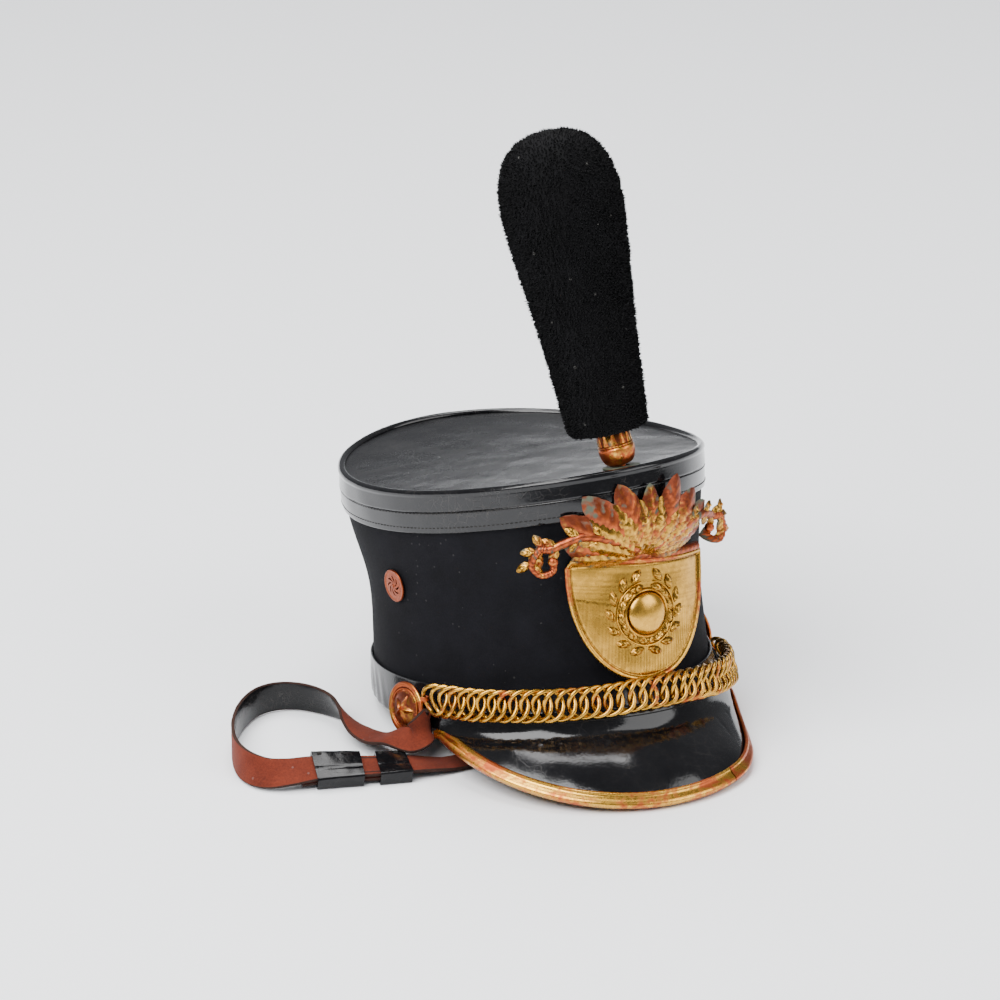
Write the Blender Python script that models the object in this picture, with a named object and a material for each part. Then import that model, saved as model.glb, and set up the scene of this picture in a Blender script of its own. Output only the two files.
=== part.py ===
"""A dress shako: wool body, patent leather crown and visor, brass fittings, pompon and chin strap.

Units are metres and +Z is up. The hat is modelled upright in its own frame, with the centre of
its base rim at the origin and its front towards -Y. It then tips back until the visor's lowest
edge and the back of the rim both touch the floor, which is how it rests by itself. The chin strap
is laid on the floor beside it. An angle round the hat is 0 at the front and grows towards +X.
"""

import math

import bmesh
import bpy
from mathutils import Matrix, Vector

# ---------------------------------------------------------------------------- driving sizes

GAP = 0.0003  # clearance between pieces that touch on the real hat

# The outside of the wool body, from the rim to the crown. Each row is one section of the body:
# an oval with its own height, half width, half depth and centre. "slope" tips the section,
# "egg" makes it narrower at the back than the front, "saddle" drops its sides, and "sag" is how
# far its right side hangs, because the old hat is bent down there.
SECTION_COLUMNS = ("height", "half_width", "half_depth", "centre_y", "slope", "egg", "saddle", "sag")
BODY_SECTIONS = (
    (0.0000, 0.0870, 0.1002, 0.0000, 0.000, 0.000, 0.0000, 0.0080),
    (0.0205, 0.0856, 0.0958, 0.0040, -0.030, 0.004, 0.0000, 0.0080),
    (0.0615, 0.0839, 0.0953, 0.0053, -0.070, 0.010, 0.0020, 0.0020),
    (0.1028, 0.0868, 0.1120, 0.0096, -0.087, 0.023, 0.0043, 0.0000),
    (0.1237, 0.0873, 0.1124, 0.0101, -0.087, 0.023, 0.0043, 0.0000),
)
SAG = BODY_SECTIONS[0][-1]
SEGMENTS = 28  # sides of the body's ovals

FELT = 0.0024  # wall of the wool body
PATENT = 0.0015  # patent leather of the crown band
BAND_LEATHER = 0.0020  # base band and visor leather
BASE_BAND_HEIGHT = 0.0215
CROWN_BAND_LOW = 0.1028  # section height of the crown band's lower edge
CROWN_ROLL = 0.0022  # radius of the rolled edge round the crown
CROWN_HEIGHT = 0.1237
CROWN_DISH = 0.0012  # how far the crown's leather lies below its rolled edge

VISOR_ROUND_SHARE = 0.9  # share of the visor's stations on its round edge
VISOR_CORNER_LENGTH = {-1.0: 0.0064, 1.0: 0.0220}  # straight edge from there back to each corner
VISOR_CREASE_HALF_WIDTH = 0.0925
VISOR_CREASE_HALF_DEPTH = 0.1053
VISOR_CREASE_SLOPE = -0.035
VISOR_FLANGE_TOP = 0.0125
VISOR_HALF_WIDTH = 0.0872
VISOR_HALF_DEPTH = 0.0930
VISOR_CENTRE_Y = -0.0474
VISOR_DROP = 0.290  # fall of the visor's edge for each metre forward
VISOR_CURVE = 6.5  # how fast the brim's leather bends from the crease to the edge
VISOR_SEGMENTS = 20
# The visor's right side is bent in and down. Rows are an even VISOR_BEND_STEP of its length apart,
# from the front: how far its edge lies in, and how far it lies down.
VISOR_BEND_STEP = 0.15
VISOR_BEND = (
    (0.0000, 0.0005),
    (0.0000, 0.0010),
    (0.0012, 0.0020),
    (0.0060, 0.0042),
    (0.0105, 0.0072),
    (0.0112, 0.0100),
    (0.0050, 0.0125),
    (-0.0040, 0.0125),
)
BINDING_WALL = 0.0007
BINDING_TOP = 0.0065

CHAIN_HALF_WIDTH = 0.0958
CHAIN_HALF_DEPTH = 0.1076
CHAIN_HEIGHT = 0.0180
CHAIN_SLOPE = -0.030
CHAIN_SAG = 0.0150  # how far its right end hangs
CHAIN_TUCK = 0.024  # how much closer to the hat its right end lies, as a share
CHAIN_END = {-1: math.radians(66.0), 1: math.radians(76.0)}
LINK_COUNT = 40
LINK_GROWTH = 0.13  # the links lie further apart towards the right, by this share of the spacing
LINK_RADIUS = 0.0077
LINK_WIRE = 0.00085
LINK_TWIST = -0.0010  # how far a link's wire weaves in front of and behind its neighbours
LINK_SHINGLE = 0.045  # sideways lean of each link over the next
LINK_LEAN = math.radians(8)

BUTTON_ANGLE = {-1: math.radians(78), 1: math.radians(92)}
BUTTON_HEIGHT = 0.0092
BUTTON_RADIUS = 0.0140
BUTTON_STANDOFF = 0.0054
SHANK_RADIUS = 0.0012
HOOK_WIDTH = 0.0046
HOOK_END_WIDTH = 0.0022
HOOK_DEPTH = -0.0010  # below the button's disc
HOOK_REACH = (-0.0045, 0.0, 0.0060, 0.0120, 0.0148)  # flat part, from behind the shank
HOOK_THICKNESS = 0.0009

VENT_ANGLE = math.radians(86)
VENT_HEIGHT = 0.0715
VENT_RADIUS = 0.0087
VENT_SLOTS = 8
VENT_STANDOFF = 0.0005  # the cloth is hollow there, so a flat disc needs room

PLATE_THICKNESS = 0.0011
PLATE_RADIUS = 0.070
PLATE_TURN = math.radians(6.2)
PLATE_ROLL = math.radians(7.5)
PLATE_HEIGHT = 0.0886  # height of the shield's top edge
PLATE_Y = -0.0974
SHIELD_WIDTH = 0.0874
SHIELD_DROP = 0.0639
SHIELD_FULLNESS = 2.2  # how late its sides curve in to its point
SHIELD_FORWARD = math.radians(4.7)  # its point stands off the hat
CREST_FORWARD = 0.0128  # the crest bends forward with the flare of the body
CREST_BEND = 0.024  # over this height
CREST_SPREAD = 0.014  # and over this width beside the shield
CREST_LEAN = math.radians(6.0)  # to the left of the shield's middle line
CREST_SHIFT = -0.0055
SHIELD_RIM = 0.0030
SHIELD_RIM_RISE = 0.0014

# Where the socket and the pompon's axis stand on the crown, and how they lean. The pompon sits a
# little askew on its socket.
SOCKET_X = 0.0016
SOCKET_INSET = 0.0119  # from the front edge of the crown
SOCKET_SIDE_LEAN = math.radians(7.5)
POMPON_X = 0.0012
POMPON_INSET = 0.0165
POMPON_SIDE_LEAN = math.radians(4.0)
BACK_LEAN = math.radians(10.4)
# The pompon's outline from its foot to its top: distance along its axis and radius.
POMPON_OUTLINE = (
    (0.0188, 0.0165),
    (0.0213, 0.0205),
    (0.0318, 0.0217),
    (0.0643, 0.0243),
    (0.0963, 0.0276),
    (0.1203, 0.0303),
    (0.1368, 0.0312),
    (0.1493, 0.0300),
    (0.1593, 0.0268),
    (0.1678, 0.0205),
    (0.1728, 0.0110),
)
POMPON_TOP = 0.1743
POMPON_SIDES = 16
TUFT_DEPTH = 0.0015
SOCKET_RADIUS = 0.0093
SOCKET_TOP = 0.0275
SOCKET_PIN_RADIUS = 0.0026
WASHER_RADIUS = 0.0097
WASHER_HOLE = 0.0045
WASHER_THICKNESS = 0.0010

STRAP_WIDTH = 0.0160
STRAP_THICKNESS = 0.0018
KEEPER_WALL = 0.0010
LAP_START, LAP_END = 19.5, 23.0  # rows of the strap's route
# The strap's middle line from the left button's front edge to where it runs flat below the hat:
# place on the floor, height of its middle above the floor, and how far its width leans from
# upright. A positive lean is towards the left of the way along the strap.
STRAP_ROUTE = (
    (-0.0876, -0.0334, 0.0224, 0),
    (-0.0908, -0.0355, 0.0212, -6),
    (-0.0969, -0.0352, 0.0151, -50),
    (-0.1035, -0.0250, 0.0138, -77),
    (-0.1068, -0.0130, 0.0088, -88),
    (-0.1080, -0.0010, 0.0070, -98),
    (-0.1076, 0.0105, 0.0070, -115),
    (-0.1068, 0.0210, 0.0078, -138),
    (-0.1078, 0.0320, 0.0085, -158),
    (-0.1120, 0.0440, 0.0087, -170),
    (-0.1195, 0.0540, 0.0088, -176),
    (-0.1300, 0.0592, 0.0088, -180),
    (-0.1420, 0.0572, 0.0088, -182),
    (-0.1540, 0.0480, 0.0088, -182),
    (-0.1640, 0.0360, 0.0087, -181),
    (-0.1725, 0.0215, 0.0087, -180),
    (-0.1788, 0.0050, 0.0086, -176),
    (-0.1802, -0.0100, 0.0083, -164),
    (-0.1755, -0.0215, 0.0079, -143),
    (-0.1660, -0.0275, 0.0084, -126),
    (-0.1520, -0.0310, 0.0089, -115),
    (-0.1360, -0.0352, 0.0080, -108),
    (-0.1205, -0.0400, 0.0071, -102),
    (-0.1050, -0.0442, 0.0063, -97),
    (-0.0930, -0.0462, 0.0046, -92),
    (-0.0810, -0.0466, 0.0024, -90),
    (-0.0600, -0.0435, 0.0011, -90),
    (-0.0200, -0.0320, 0.0010, -90),
    (0.0200, -0.0165, 0.0010, -90),
    (0.0560, -0.0040, 0.0010, -90),
)
STRAP_BENDS = 25  # rows of the route that bend; the rest is nearly straight
# The strap's ends. The left one runs forward behind its button: rows of back, up and out in the
# button's frame. The right one comes out flat below the rim, turns up (rows of X and height)
# and ends behind its button (rows of up and out).
STRAP_LEFT_END = (
    (0.0090, 0.0010, -0.0031),
    (0.0, 0.0, -0.0031),
    (-0.0070, -0.0014, -0.0030),
    (-0.0125, -0.0026, -0.0028),
)
STRAP_RIGHT_END = ((0.0856, 0.0010), (0.0894, 0.0025), (0.0911, 0.0064), (0.0913, 0.0110))
STRAP_RIGHT_TOP = ((-0.0080, -0.0031), (0.0090, -0.0030))


# ---------------------------------------------------------------------------- scene helpers

def empty_scene():
    for item in list(bpy.data.objects):
        bpy.data.objects.remove(item, do_unlink=True)


def new_collection(name):
    collection = bpy.data.collections.new(name)
    bpy.context.scene.collection.children.link(collection)
    return collection


def principled(name, colour, roughness, metallic=0.0):
    material = bpy.data.materials.new(name)
    material.use_nodes = True
    shader = material.node_tree.nodes["Principled BSDF"]
    shader.inputs["Base Color"].default_value = (*colour, 1.0)
    shader.inputs["Roughness"].default_value = roughness
    shader.inputs["Metallic"].default_value = metallic
    return material


def add_object(name, mesh, material, parent, smooth=30):
    piece = bpy.data.objects.new(name, mesh)
    mesh.materials.clear()
    mesh.materials.append(material)
    mesh.shade_smooth()
    mesh.set_sharp_from_angle(angle=math.radians(smooth))
    parts.objects.link(piece)
    piece.parent = parent
    return piece


def add_cutter(name, mesh, parent):
    cutter = bpy.data.objects.new(name, mesh)
    cutters.objects.link(cutter)
    cutter.parent = parent
    cutter.hide_render = True
    cutter.display_type = "WIRE"
    return cutter


def add_boolean(piece, tool, operation):
    modifier = piece.modifiers.new(operation.title(), "BOOLEAN")
    modifier.object = tool
    modifier.operation = operation
    modifier.solver = "EXACT"


def mesh_from_bmesh(name, shape):
    bmesh.ops.recalc_face_normals(shape, faces=shape.faces)
    mesh = bpy.data.meshes.new(name)
    shape.to_mesh(mesh)
    shape.free()
    return mesh


# ---------------------------------------------------------------------------- shape helpers

def curve_through(rows, position):
    """A smooth curve through the rows at an even spacing of 1: the row at any position."""
    last = len(rows) - 1
    index = min(int(position), last - 1)
    share = position - index
    before = rows[max(index - 1, 0)]
    start = rows[index]
    end = rows[index + 1]
    after = rows[min(index + 2, last)]
    weights = (
        -0.5 * share + share ** 2 - 0.5 * share ** 3,
        1.0 - 2.5 * share ** 2 + 1.5 * share ** 3,
        0.5 * share + 2.0 * share ** 2 - 1.5 * share ** 3,
        -0.5 * share ** 2 + 0.5 * share ** 3,
    )
    four = (before, start, end, after)
    return tuple(sum(w * row[i] for w, row in zip(weights, four)) for i in range(len(start)))


def body_section(height):
    """The body's section at a height, as a dictionary of the columns."""
    heights = [row[0] for row in BODY_SECTIONS]
    index = max(i for i in range(len(heights) - 1) if heights[i] <= height + 1e-9)
    span = heights[index + 1] - heights[index]
    row = curve_through(BODY_SECTIONS, index + (height - heights[index]) / span)
    section = dict(zip(SECTION_COLUMNS, row))
    section["height"] = height
    return section


def hang(angle):
    """The share of the sag at an angle: none at the left and the back, all of it at the right."""
    across = math.sin(angle) + 0.45
    sideways = (across + math.sqrt(across ** 2 + 0.02)) / 2.0 / 1.45
    forward = min(max((math.cos(angle) + 0.2) / 0.7, 0.0), 1.0)
    return sideways * forward ** 2 * (3.0 - 2.0 * forward)


def oval_point(section, angle, offset=0.0, scale=1.0):
    """A point on a section's oval, moved outwards by offset."""
    stretch = 1.0 + section["egg"] * math.cos(3.0 * angle)
    x = (section["half_width"] + offset) * math.sin(angle) * stretch * scale
    forward = (section["half_depth"] + offset) * math.cos(angle) * stretch * scale
    saddle = section["saddle"] * math.cos(2.0 * angle) * scale ** 2
    z = section["height"] - section["slope"] * forward + saddle - section["sag"] * hang(angle)
    return Vector((x, section["centre_y"] - forward, z))


def oval(section, offset=0.0, scale=1.0, rise=0.0):
    step = math.tau / SEGMENTS
    points = [oval_point(section, step * i, offset, scale) for i in range(SEGMENTS)]
    return [point + Vector((0.0, 0.0, rise)) for point in points]


def wall_point(angle, height, offset=0.0):
    return oval_point(body_section(height), angle, offset)


def wall_frame(angle, height, offset=0.0):
    """A matrix on the wall: X runs round the hat, Y up the wall, Z straight out of it."""
    step = 0.002
    centre = wall_point(angle, height, offset)
    along = wall_point(angle + step, height, offset) - wall_point(angle - step, height, offset)
    upwards = wall_point(angle, height + step, offset) - wall_point(angle, height - step, offset)
    out = along.cross(upwards).normalized()
    if out.dot(Vector((centre.x, centre.y, 0.0))) < 0.0:
        out.negate()
    along.normalize()
    upwards = out.cross(along)
    frame = Matrix((along, upwards, out)).transposed().to_4x4()
    frame.translation = centre
    return frame


def loft(rings, closed_ring=True, closed_profile=False, cap_start=False, cap_end=False):
    """A skin over rings that have the same number of points."""
    shape = bmesh.new()
    grid = [[shape.verts.new(point) for point in ring] for ring in rings]
    count = len(rings[0])
    pairs = list(zip(grid, grid[1:]))
    if closed_profile:
        pairs.append((grid[-1], grid[0]))
    for lower, upper in pairs:
        for i in range(count if closed_ring else count - 1):
            j = (i + 1) % count
            shape.faces.new((lower[i], lower[j], upper[j], upper[i]))
    if cap_start:
        shape.faces.new(grid[0])
    if cap_end:
        shape.faces.new(grid[-1])
    return shape


def close_poles(shape, distance=1e-6):
    bmesh.ops.remove_doubles(shape, verts=shape.verts, dist=distance)


def turned(outline, sides):
    """A solid of revolution about Z. The outline runs from the axis round to the axis again."""
    rings = []
    for radius, height in outline:
        angles = [math.tau * i / sides for i in range(sides)]
        rings.append([(radius * math.cos(a), radius * math.sin(a), height) for a in angles])
    shape = loft(rings)
    close_poles(shape)
    return shape


def turned_ring(outline, sides):
    """A solid ring of revolution about Z, from an outline that closes on itself."""
    rings = []
    for radius, height in outline:
        angles = [math.tau * i / sides for i in range(sides)]
        rings.append([(radius * math.cos(a), radius * math.sin(a), height) for a in angles])
    return loft(rings, closed_profile=True)


def join_shapes(shapes):
    """One bmesh that holds several, which are freed."""
    whole = bmesh.new()
    for shape in shapes:
        bmesh.ops.recalc_face_normals(shape, faces=shape.faces)
        mesh = bpy.data.meshes.new("piece")
        shape.to_mesh(mesh)
        shape.free()
        whole.from_mesh(mesh)
        bpy.data.meshes.remove(mesh)
    return whole


def fuse(name, shapes, material, parent):
    """One body out of closed shapes that overlap, joined one after another."""
    base = add_object(name, mesh_from_bmesh(name, shapes[0]), material, parent)
    for shape in shapes[1:]:
        tool = add_cutter(name + "_addition", mesh_from_bmesh(name + "_addition", shape), parent)
        add_boolean(base, tool, "UNION")
    return base


# ---------------------------------------------------------------------------- body and leather

def make_wool_body(parent):
    heights = (0.0012, 0.0205, 0.0480, 0.0780, 0.1028)
    top = body_section(0.1212)
    outer = [oval(body_section(height)) for height in heights] + [oval(top, -0.0008)]
    inner = [oval(body_section(height), -FELT) for height in reversed(heights)]
    inner.insert(0, oval(top, -FELT - 0.0008))
    shape = loft(outer + inner, closed_profile=True)
    body = add_object("wool_body", mesh_from_bmesh("wool_body", shape), wool, parent)
    for side in (-1, 1):
        hole = bmesh.new()
        bmesh.ops.create_cone(
            hole, cap_ends=True, segments=12, radius1=0.0062, radius2=0.0062, depth=0.012,
            matrix=wall_frame(side * VENT_ANGLE, VENT_HEIGHT),
        )
        name = "vent_hole_" + SIDE_NAMES[side]
        cutter = add_cutter(name, mesh_from_bmesh(name, hole), parent)
        add_boolean(body, cutter, "DIFFERENCE")


def make_base_band(parent):
    low = GAP
    high = GAP + BAND_LEATHER
    rings = [
        oval(body_section(0.0), high),
        oval(body_section(0.0110), high),
        oval(body_section(BASE_BAND_HEIGHT), high - 0.0006),
        oval(body_section(BASE_BAND_HEIGHT), low),
        oval(body_section(0.0), low),
    ]
    shape = loft(rings, closed_profile=True)
    add_object("base_band", mesh_from_bmesh("base_band", shape), patent, parent)


def make_crown_band(parent):
    crown = body_section(CROWN_HEIGHT)
    outer = GAP + PATENT
    rings = [
        oval(body_section(CROWN_BAND_LOW), outer),
        oval(crown, outer + 0.0006, rise=-0.0006),
        oval(crown, outer, rise=CROWN_ROLL * 0.7),
        oval(crown, outer - CROWN_ROLL, rise=CROWN_ROLL * 0.8),
        oval(crown, GAP, rise=-0.0008),
        oval(body_section(CROWN_BAND_LOW), GAP),
    ]
    shape = loft(rings, closed_profile=True)
    add_object("crown_band", mesh_from_bmesh("crown_band", shape), patent, parent)


def crown_surface(x, y):
    """Height of the crown's leather over a place inside the crown's oval."""
    crown = body_section(CROWN_HEIGHT)
    across = x / crown["half_width"]
    forward = (crown["centre_y"] - y) / crown["half_depth"]
    dish = CROWN_DISH * (1.0 - across ** 2 - forward ** 2)
    slope = -crown["slope"] * (crown["centre_y"] - y)
    saddle = crown["saddle"] * (forward ** 2 - across ** 2)
    return crown["height"] + slope + saddle - 0.0002 - dish


def make_crown_top(parent, socket):
    crown = body_section(CROWN_HEIGHT)
    edge = -0.0009
    rings = []
    for scale in (1.0, 0.60, 0.0):
        ring = oval(crown, edge, scale)
        rings.append([Vector((p.x, p.y, crown_surface(p.x, p.y))) for p in ring])
    under = [[p - Vector((0.0, 0.0, PATENT)) for p in ring] for ring in rings]
    shape = loft(list(reversed(under)) + rings)
    close_poles(shape)
    top = add_object("crown_top", mesh_from_bmesh("crown_top", shape), patent, parent)
    hole = bmesh.new()
    bmesh.ops.create_cone(
        hole, cap_ends=True, segments=12, radius1=WASHER_HOLE, radius2=WASHER_HOLE,
        depth=0.02, matrix=socket,
    )
    cutter = add_cutter("socket_hole", mesh_from_bmesh("socket_hole", hole), parent)
    add_boolean(top, cutter, "DIFFERENCE")


# ---------------------------------------------------------------------------- visor

def visor_turn(share):
    """How far along the visor a share from -1 to 1 is: a quarter turn to each side, then the
    straight run back to the corner."""
    side = math.copysign(1.0, share)
    round_part = min(abs(share) / VISOR_ROUND_SHARE, 1.0)
    back = max(abs(share) - VISOR_ROUND_SHARE, 0.0) / (1.0 - VISOR_ROUND_SHARE)
    return side, round_part, back * VISOR_CORNER_LENGTH[side]


def visor_bend(share):
    """The bend of the right side at a share of the visor: how far in and down its edge lies."""
    return curve_through(VISOR_BEND, max(share, 0.0) / VISOR_BEND_STEP)


def visor_crease_angle(share):
    side, round_part, back = visor_turn(share)
    beside = math.acos((-VISOR_CENTRE_Y - back) / VISOR_CREASE_HALF_DEPTH)
    return side * beside * round_part


def visor_crease(share):
    """A point where the visor turns out from the hat."""
    angle = visor_crease_angle(share)
    x = VISOR_CREASE_HALF_WIDTH * math.sin(angle)
    y = -VISOR_CREASE_HALF_DEPTH * math.cos(angle)
    return Vector((x, y, VISOR_CREASE_SLOPE * (y + 0.020) - SAG * hang(angle)))


def visor_edge(share):
    """A point on the visor's outer edge."""
    side, round_part, back = visor_turn(share)
    angle = round_part * math.pi / 2.0
    forward = VISOR_HALF_DEPTH * math.cos(angle)
    inset, drop = visor_bend(share)
    x = side * VISOR_HALF_WIDTH * math.sin(angle) - inset
    return Vector((x, VISOR_CENTRE_Y - forward + back, -VISOR_DROP * forward + 0.1 * back - drop))


def outwards(direction, place):
    """A direction, turned round if it points down and into the hat."""
    away = Vector((place.x, place.y, 0.0)).normalized() + Vector((0.0, 0.0, 1.0))
    return direction if direction.dot(away) > 0.0 else -direction


def visor_lean(share):
    """The direction that the visor bulges in: square to its edge and to its width."""
    step = 0.01
    along = visor_edge(share + step) - visor_edge(share - step)
    up = (visor_edge(share) - visor_crease(share)).cross(along).normalized()
    return outwards(up, visor_edge(share))


def visor_surface(share, distance):
    """The visor's top: distance is 0 at the crease and 1 at the outer edge."""
    inner = visor_crease(share)
    outer = visor_edge(share)
    bulge = VISOR_CURVE * (outer - inner).length_squared * distance * (1.0 - distance)
    return inner.lerp(outer, distance) + visor_lean(share) * bulge


def visor_place(share, inward, lift):
    """A place near the visor's edge: inward from the edge and lifted off the top."""
    step = 0.01
    breadth = (visor_edge(share) - visor_crease(share)).length
    distance = 1.0 - max(inward, 0.0) / breadth
    along = visor_edge(share + step) - visor_edge(share - step)
    out = visor_surface(share, distance) - visor_surface(share, distance - step)
    out = (out - along * out.dot(along) / along.length_squared).normalized()
    up = outwards(out.cross(along).normalized(), visor_edge(share))
    return visor_surface(share, distance) + up * lift - out * min(inward, 0.0)


def visor_section(share):
    """The visor's outline at one place along it: flange, crease, brim and back underneath."""
    angle = visor_crease_angle(share)
    lean = visor_crease(share).y + 0.020
    inner = wall_point(angle, 0.0110, GAP * 2.0 + BAND_LEATHER)
    outer = wall_point(angle, 0.0110, GAP * 2.0 + BAND_LEATHER * 2.0)
    inner.z = VISOR_FLANGE_TOP + VISOR_CREASE_SLOPE * lean - SAG * hang(angle)
    outer.z = inner.z
    crease = visor_crease(share)
    away = Vector((crease.x, crease.y, 0.0)).normalized()
    breadth = (visor_edge(share) - crease).length
    bound = binding_reach(share)
    inwards = [bound + (breadth - bound) * part for part in (0.70, 0.35, 0.0)]
    over = [visor_place(share, inward, 0.0) for inward in inwards]
    under = [visor_place(share, inward, -BAND_LEATHER) for inward in inwards]
    corner = crease - away * BAND_LEATHER - Vector((0.0, 0.0, BAND_LEATHER))
    edge = [visor_surface(share, 1.0), visor_place(share, 0.0, -BAND_LEATHER)]
    return [inner, outer, crease] + over + edge + list(reversed(under)) + [corner]


def make_visor(parent):
    shares = [-1.0 + 2.0 * i / VISOR_SEGMENTS for i in range(VISOR_SEGMENTS + 1)]
    shape = loft([visor_section(share) for share in shares], cap_start=True, cap_end=True)
    add_object("visor", mesh_from_bmesh("visor", shape), patent, parent)


def binding_reach(share):
    """How far the brass edge covers the visor: less at the corners, where the brim is narrow."""
    return min(BINDING_TOP, 0.65 * (visor_edge(share) - visor_crease(share)).length)


def binding_profile(share):
    """The U-shaped section of the brass edge: inward from the visor's edge, and lift."""
    reach = binding_reach(share)
    clear = GAP * 2.2
    top = clear + BINDING_WALL
    under = -BAND_LEATHER - clear
    edge = -clear
    return (
        (reach, clear),
        (reach, top),
        (edge - BINDING_WALL + 0.0003, top),
        (edge - BINDING_WALL, -BAND_LEATHER / 2.0),
        (edge - BINDING_WALL + 0.0003, under - BINDING_WALL),
        (reach, under - BINDING_WALL),
        (reach, under),
        (edge, under),
        (edge, clear),
    )


def make_visor_binding(parent):
    rings = []
    for i in range(VISOR_SEGMENTS + 1):
        share = -1.0 + 2.0 * i / VISOR_SEGMENTS
        rings.append([visor_place(share, inward, lift) for inward, lift in binding_profile(share)])
    shape = loft(rings, cap_start=True, cap_end=True)
    add_object("visor_binding", mesh_from_bmesh("visor_binding", shape), brass, parent)


# ---------------------------------------------------------------------------- chain and buttons

def chain_point(angle):
    hang_share = max(math.sin(angle), 0.0) ** 1.5
    tuck = 1.0 - CHAIN_TUCK * hang_share
    x = CHAIN_HALF_WIDTH * math.sin(angle) * tuck
    y = -CHAIN_HALF_DEPTH * math.cos(angle) * tuck
    return Vector((x, y, CHAIN_HEIGHT + CHAIN_SLOPE * (y + 0.020) - CHAIN_SAG * hang_share))


def chain_frame(angle):
    """A matrix on the chain's middle line: X along it, Y out from the hat, Z up the link."""
    step = 0.002
    along = (chain_point(angle + step) - chain_point(angle - step)).normalized()
    out = Vector((along.y, -along.x, 0.0)).normalized()
    up = out.cross(along).normalized()
    if up.z < 0.0:
        up.negate()
    frame = Matrix((along, out, up)).transposed().to_4x4()
    frame.translation = chain_point(angle)
    return frame @ Matrix.Rotation(LINK_LEAN, 4, "X")


def chain_angles():
    """Angles of the links' centres, a little further apart towards the right."""
    samples = 400
    span = CHAIN_END[-1] + CHAIN_END[1]
    angles = [span * i / samples - CHAIN_END[-1] for i in range(samples + 1)]
    lengths = [0.0]
    for before, after in zip(angles, angles[1:]):
        lengths.append(lengths[-1] + (chain_point(after) - chain_point(before)).length)
    found = []
    for link in range(LINK_COUNT):
        share = link / (LINK_COUNT - 1)
        target = lengths[-1] * share * (1.0 - LINK_GROWTH * (1.0 - share))
        index = min(i for i in range(samples + 1) if lengths[i] >= target - 1e-9)
        found.append(angles[index])
    return found


def link_shape():
    """A wire ring that weaves, so that equal links pass through each other."""
    bpy.ops.mesh.primitive_torus_add(
        major_segments=10, minor_segments=5, major_radius=LINK_RADIUS, minor_radius=LINK_WIRE,
        rotation=(math.pi / 2.0, 0.0, 0.0),
    )
    ring = bpy.context.active_object
    shape = bmesh.new()
    shape.from_mesh(ring.data)
    bmesh.ops.transform(shape, matrix=ring.matrix_world, verts=shape.verts)
    bpy.data.objects.remove(ring, do_unlink=True)
    for vertex in shape.verts:
        turn = math.atan2(vertex.co.z, vertex.co.x)
        vertex.co.y += LINK_TWIST * math.sin(2.0 * turn) + LINK_SHINGLE * vertex.co.x
    return shape


def make_chain(parent):
    pattern = link_shape()
    halves = ([], [])
    for index, angle in enumerate(chain_angles()):
        link = pattern.copy()
        bmesh.ops.transform(link, matrix=chain_frame(angle), verts=link.verts)
        halves[index % 2].append(link)
    pattern.free()
    even, odd = (join_shapes(half) for half in halves)
    chain = add_object("chin_chain", mesh_from_bmesh("chin_chain", even), brass, parent, 60)
    cutter = add_cutter("odd_links", mesh_from_bmesh("odd_links", odd), parent)
    add_boolean(chain, cutter, "UNION")


def button_frame(side):
    offset = GAP + BAND_LEATHER + BUTTON_STANDOFF
    return wall_frame(side * BUTTON_ANGLE[side], BUTTON_HEIGHT, offset)


def make_button(parent, side):
    outline = (
        (0.0, -BUTTON_STANDOFF + GAP),
        (SHANK_RADIUS, -BUTTON_STANDOFF + GAP),
        (SHANK_RADIUS, 0.0),
        (BUTTON_RADIUS - 0.0006, 0.0),
        (BUTTON_RADIUS, 0.0010),
        (BUTTON_RADIUS - 0.0012, 0.0022),
        (BUTTON_RADIUS - 0.0028, 0.0019),
        (0.0070, 0.0040),
        (0.0, 0.0050),
    )
    disc = turned(outline, 14)
    star = bmesh.new()
    ring = []
    points = 10
    for i in range(points):
        radius, height = (0.0084, 0.0034) if i % 2 == 0 else (0.0038, 0.0042)
        turn = math.tau * (i + 0.3) / points
        ring.append(star.verts.new((radius * math.cos(turn), radius * math.sin(turn), height)))
    peak = star.verts.new((0.0, 0.0, 0.0068))
    root = star.verts.new((0.0, 0.0, 0.0015))
    for i in range(points):
        star.faces.new((ring[i], ring[(i + 1) % points], peak))
        star.faces.new((ring[(i + 1) % points], ring[i], root))
    name = "button_" + SIDE_NAMES[side]
    button = fuse(name, [disc, star], brass, parent)
    button.matrix_local = button_frame(side)
    for modifier in button.modifiers:
        modifier.object.matrix_local = button_frame(side)


def sweep(route, width_axes, width, thickness, end_width=None):
    """A flat strip along a route. Each width axis is the strip's own sideways direction."""
    rings = []
    last = len(route) - 1
    first_width = width
    for i, centre in enumerate(route):
        if end_width:
            width = first_width + (end_width - first_width) * min(1.0, 1.5 * i / last)
        along = (route[min(i + 1, last)] - route[max(i - 1, 0)]).normalized()
        across = width_axes[i] - along * width_axes[i].dot(along)
        across.normalize()
        face = along.cross(across)
        a = across * width / 2.0
        b = face * thickness / 2.0
        rings.append([centre - a - b, centre + a - b, centre + a + b, centre - a + b])
    return loft(rings, cap_start=True, cap_end=True)


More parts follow.
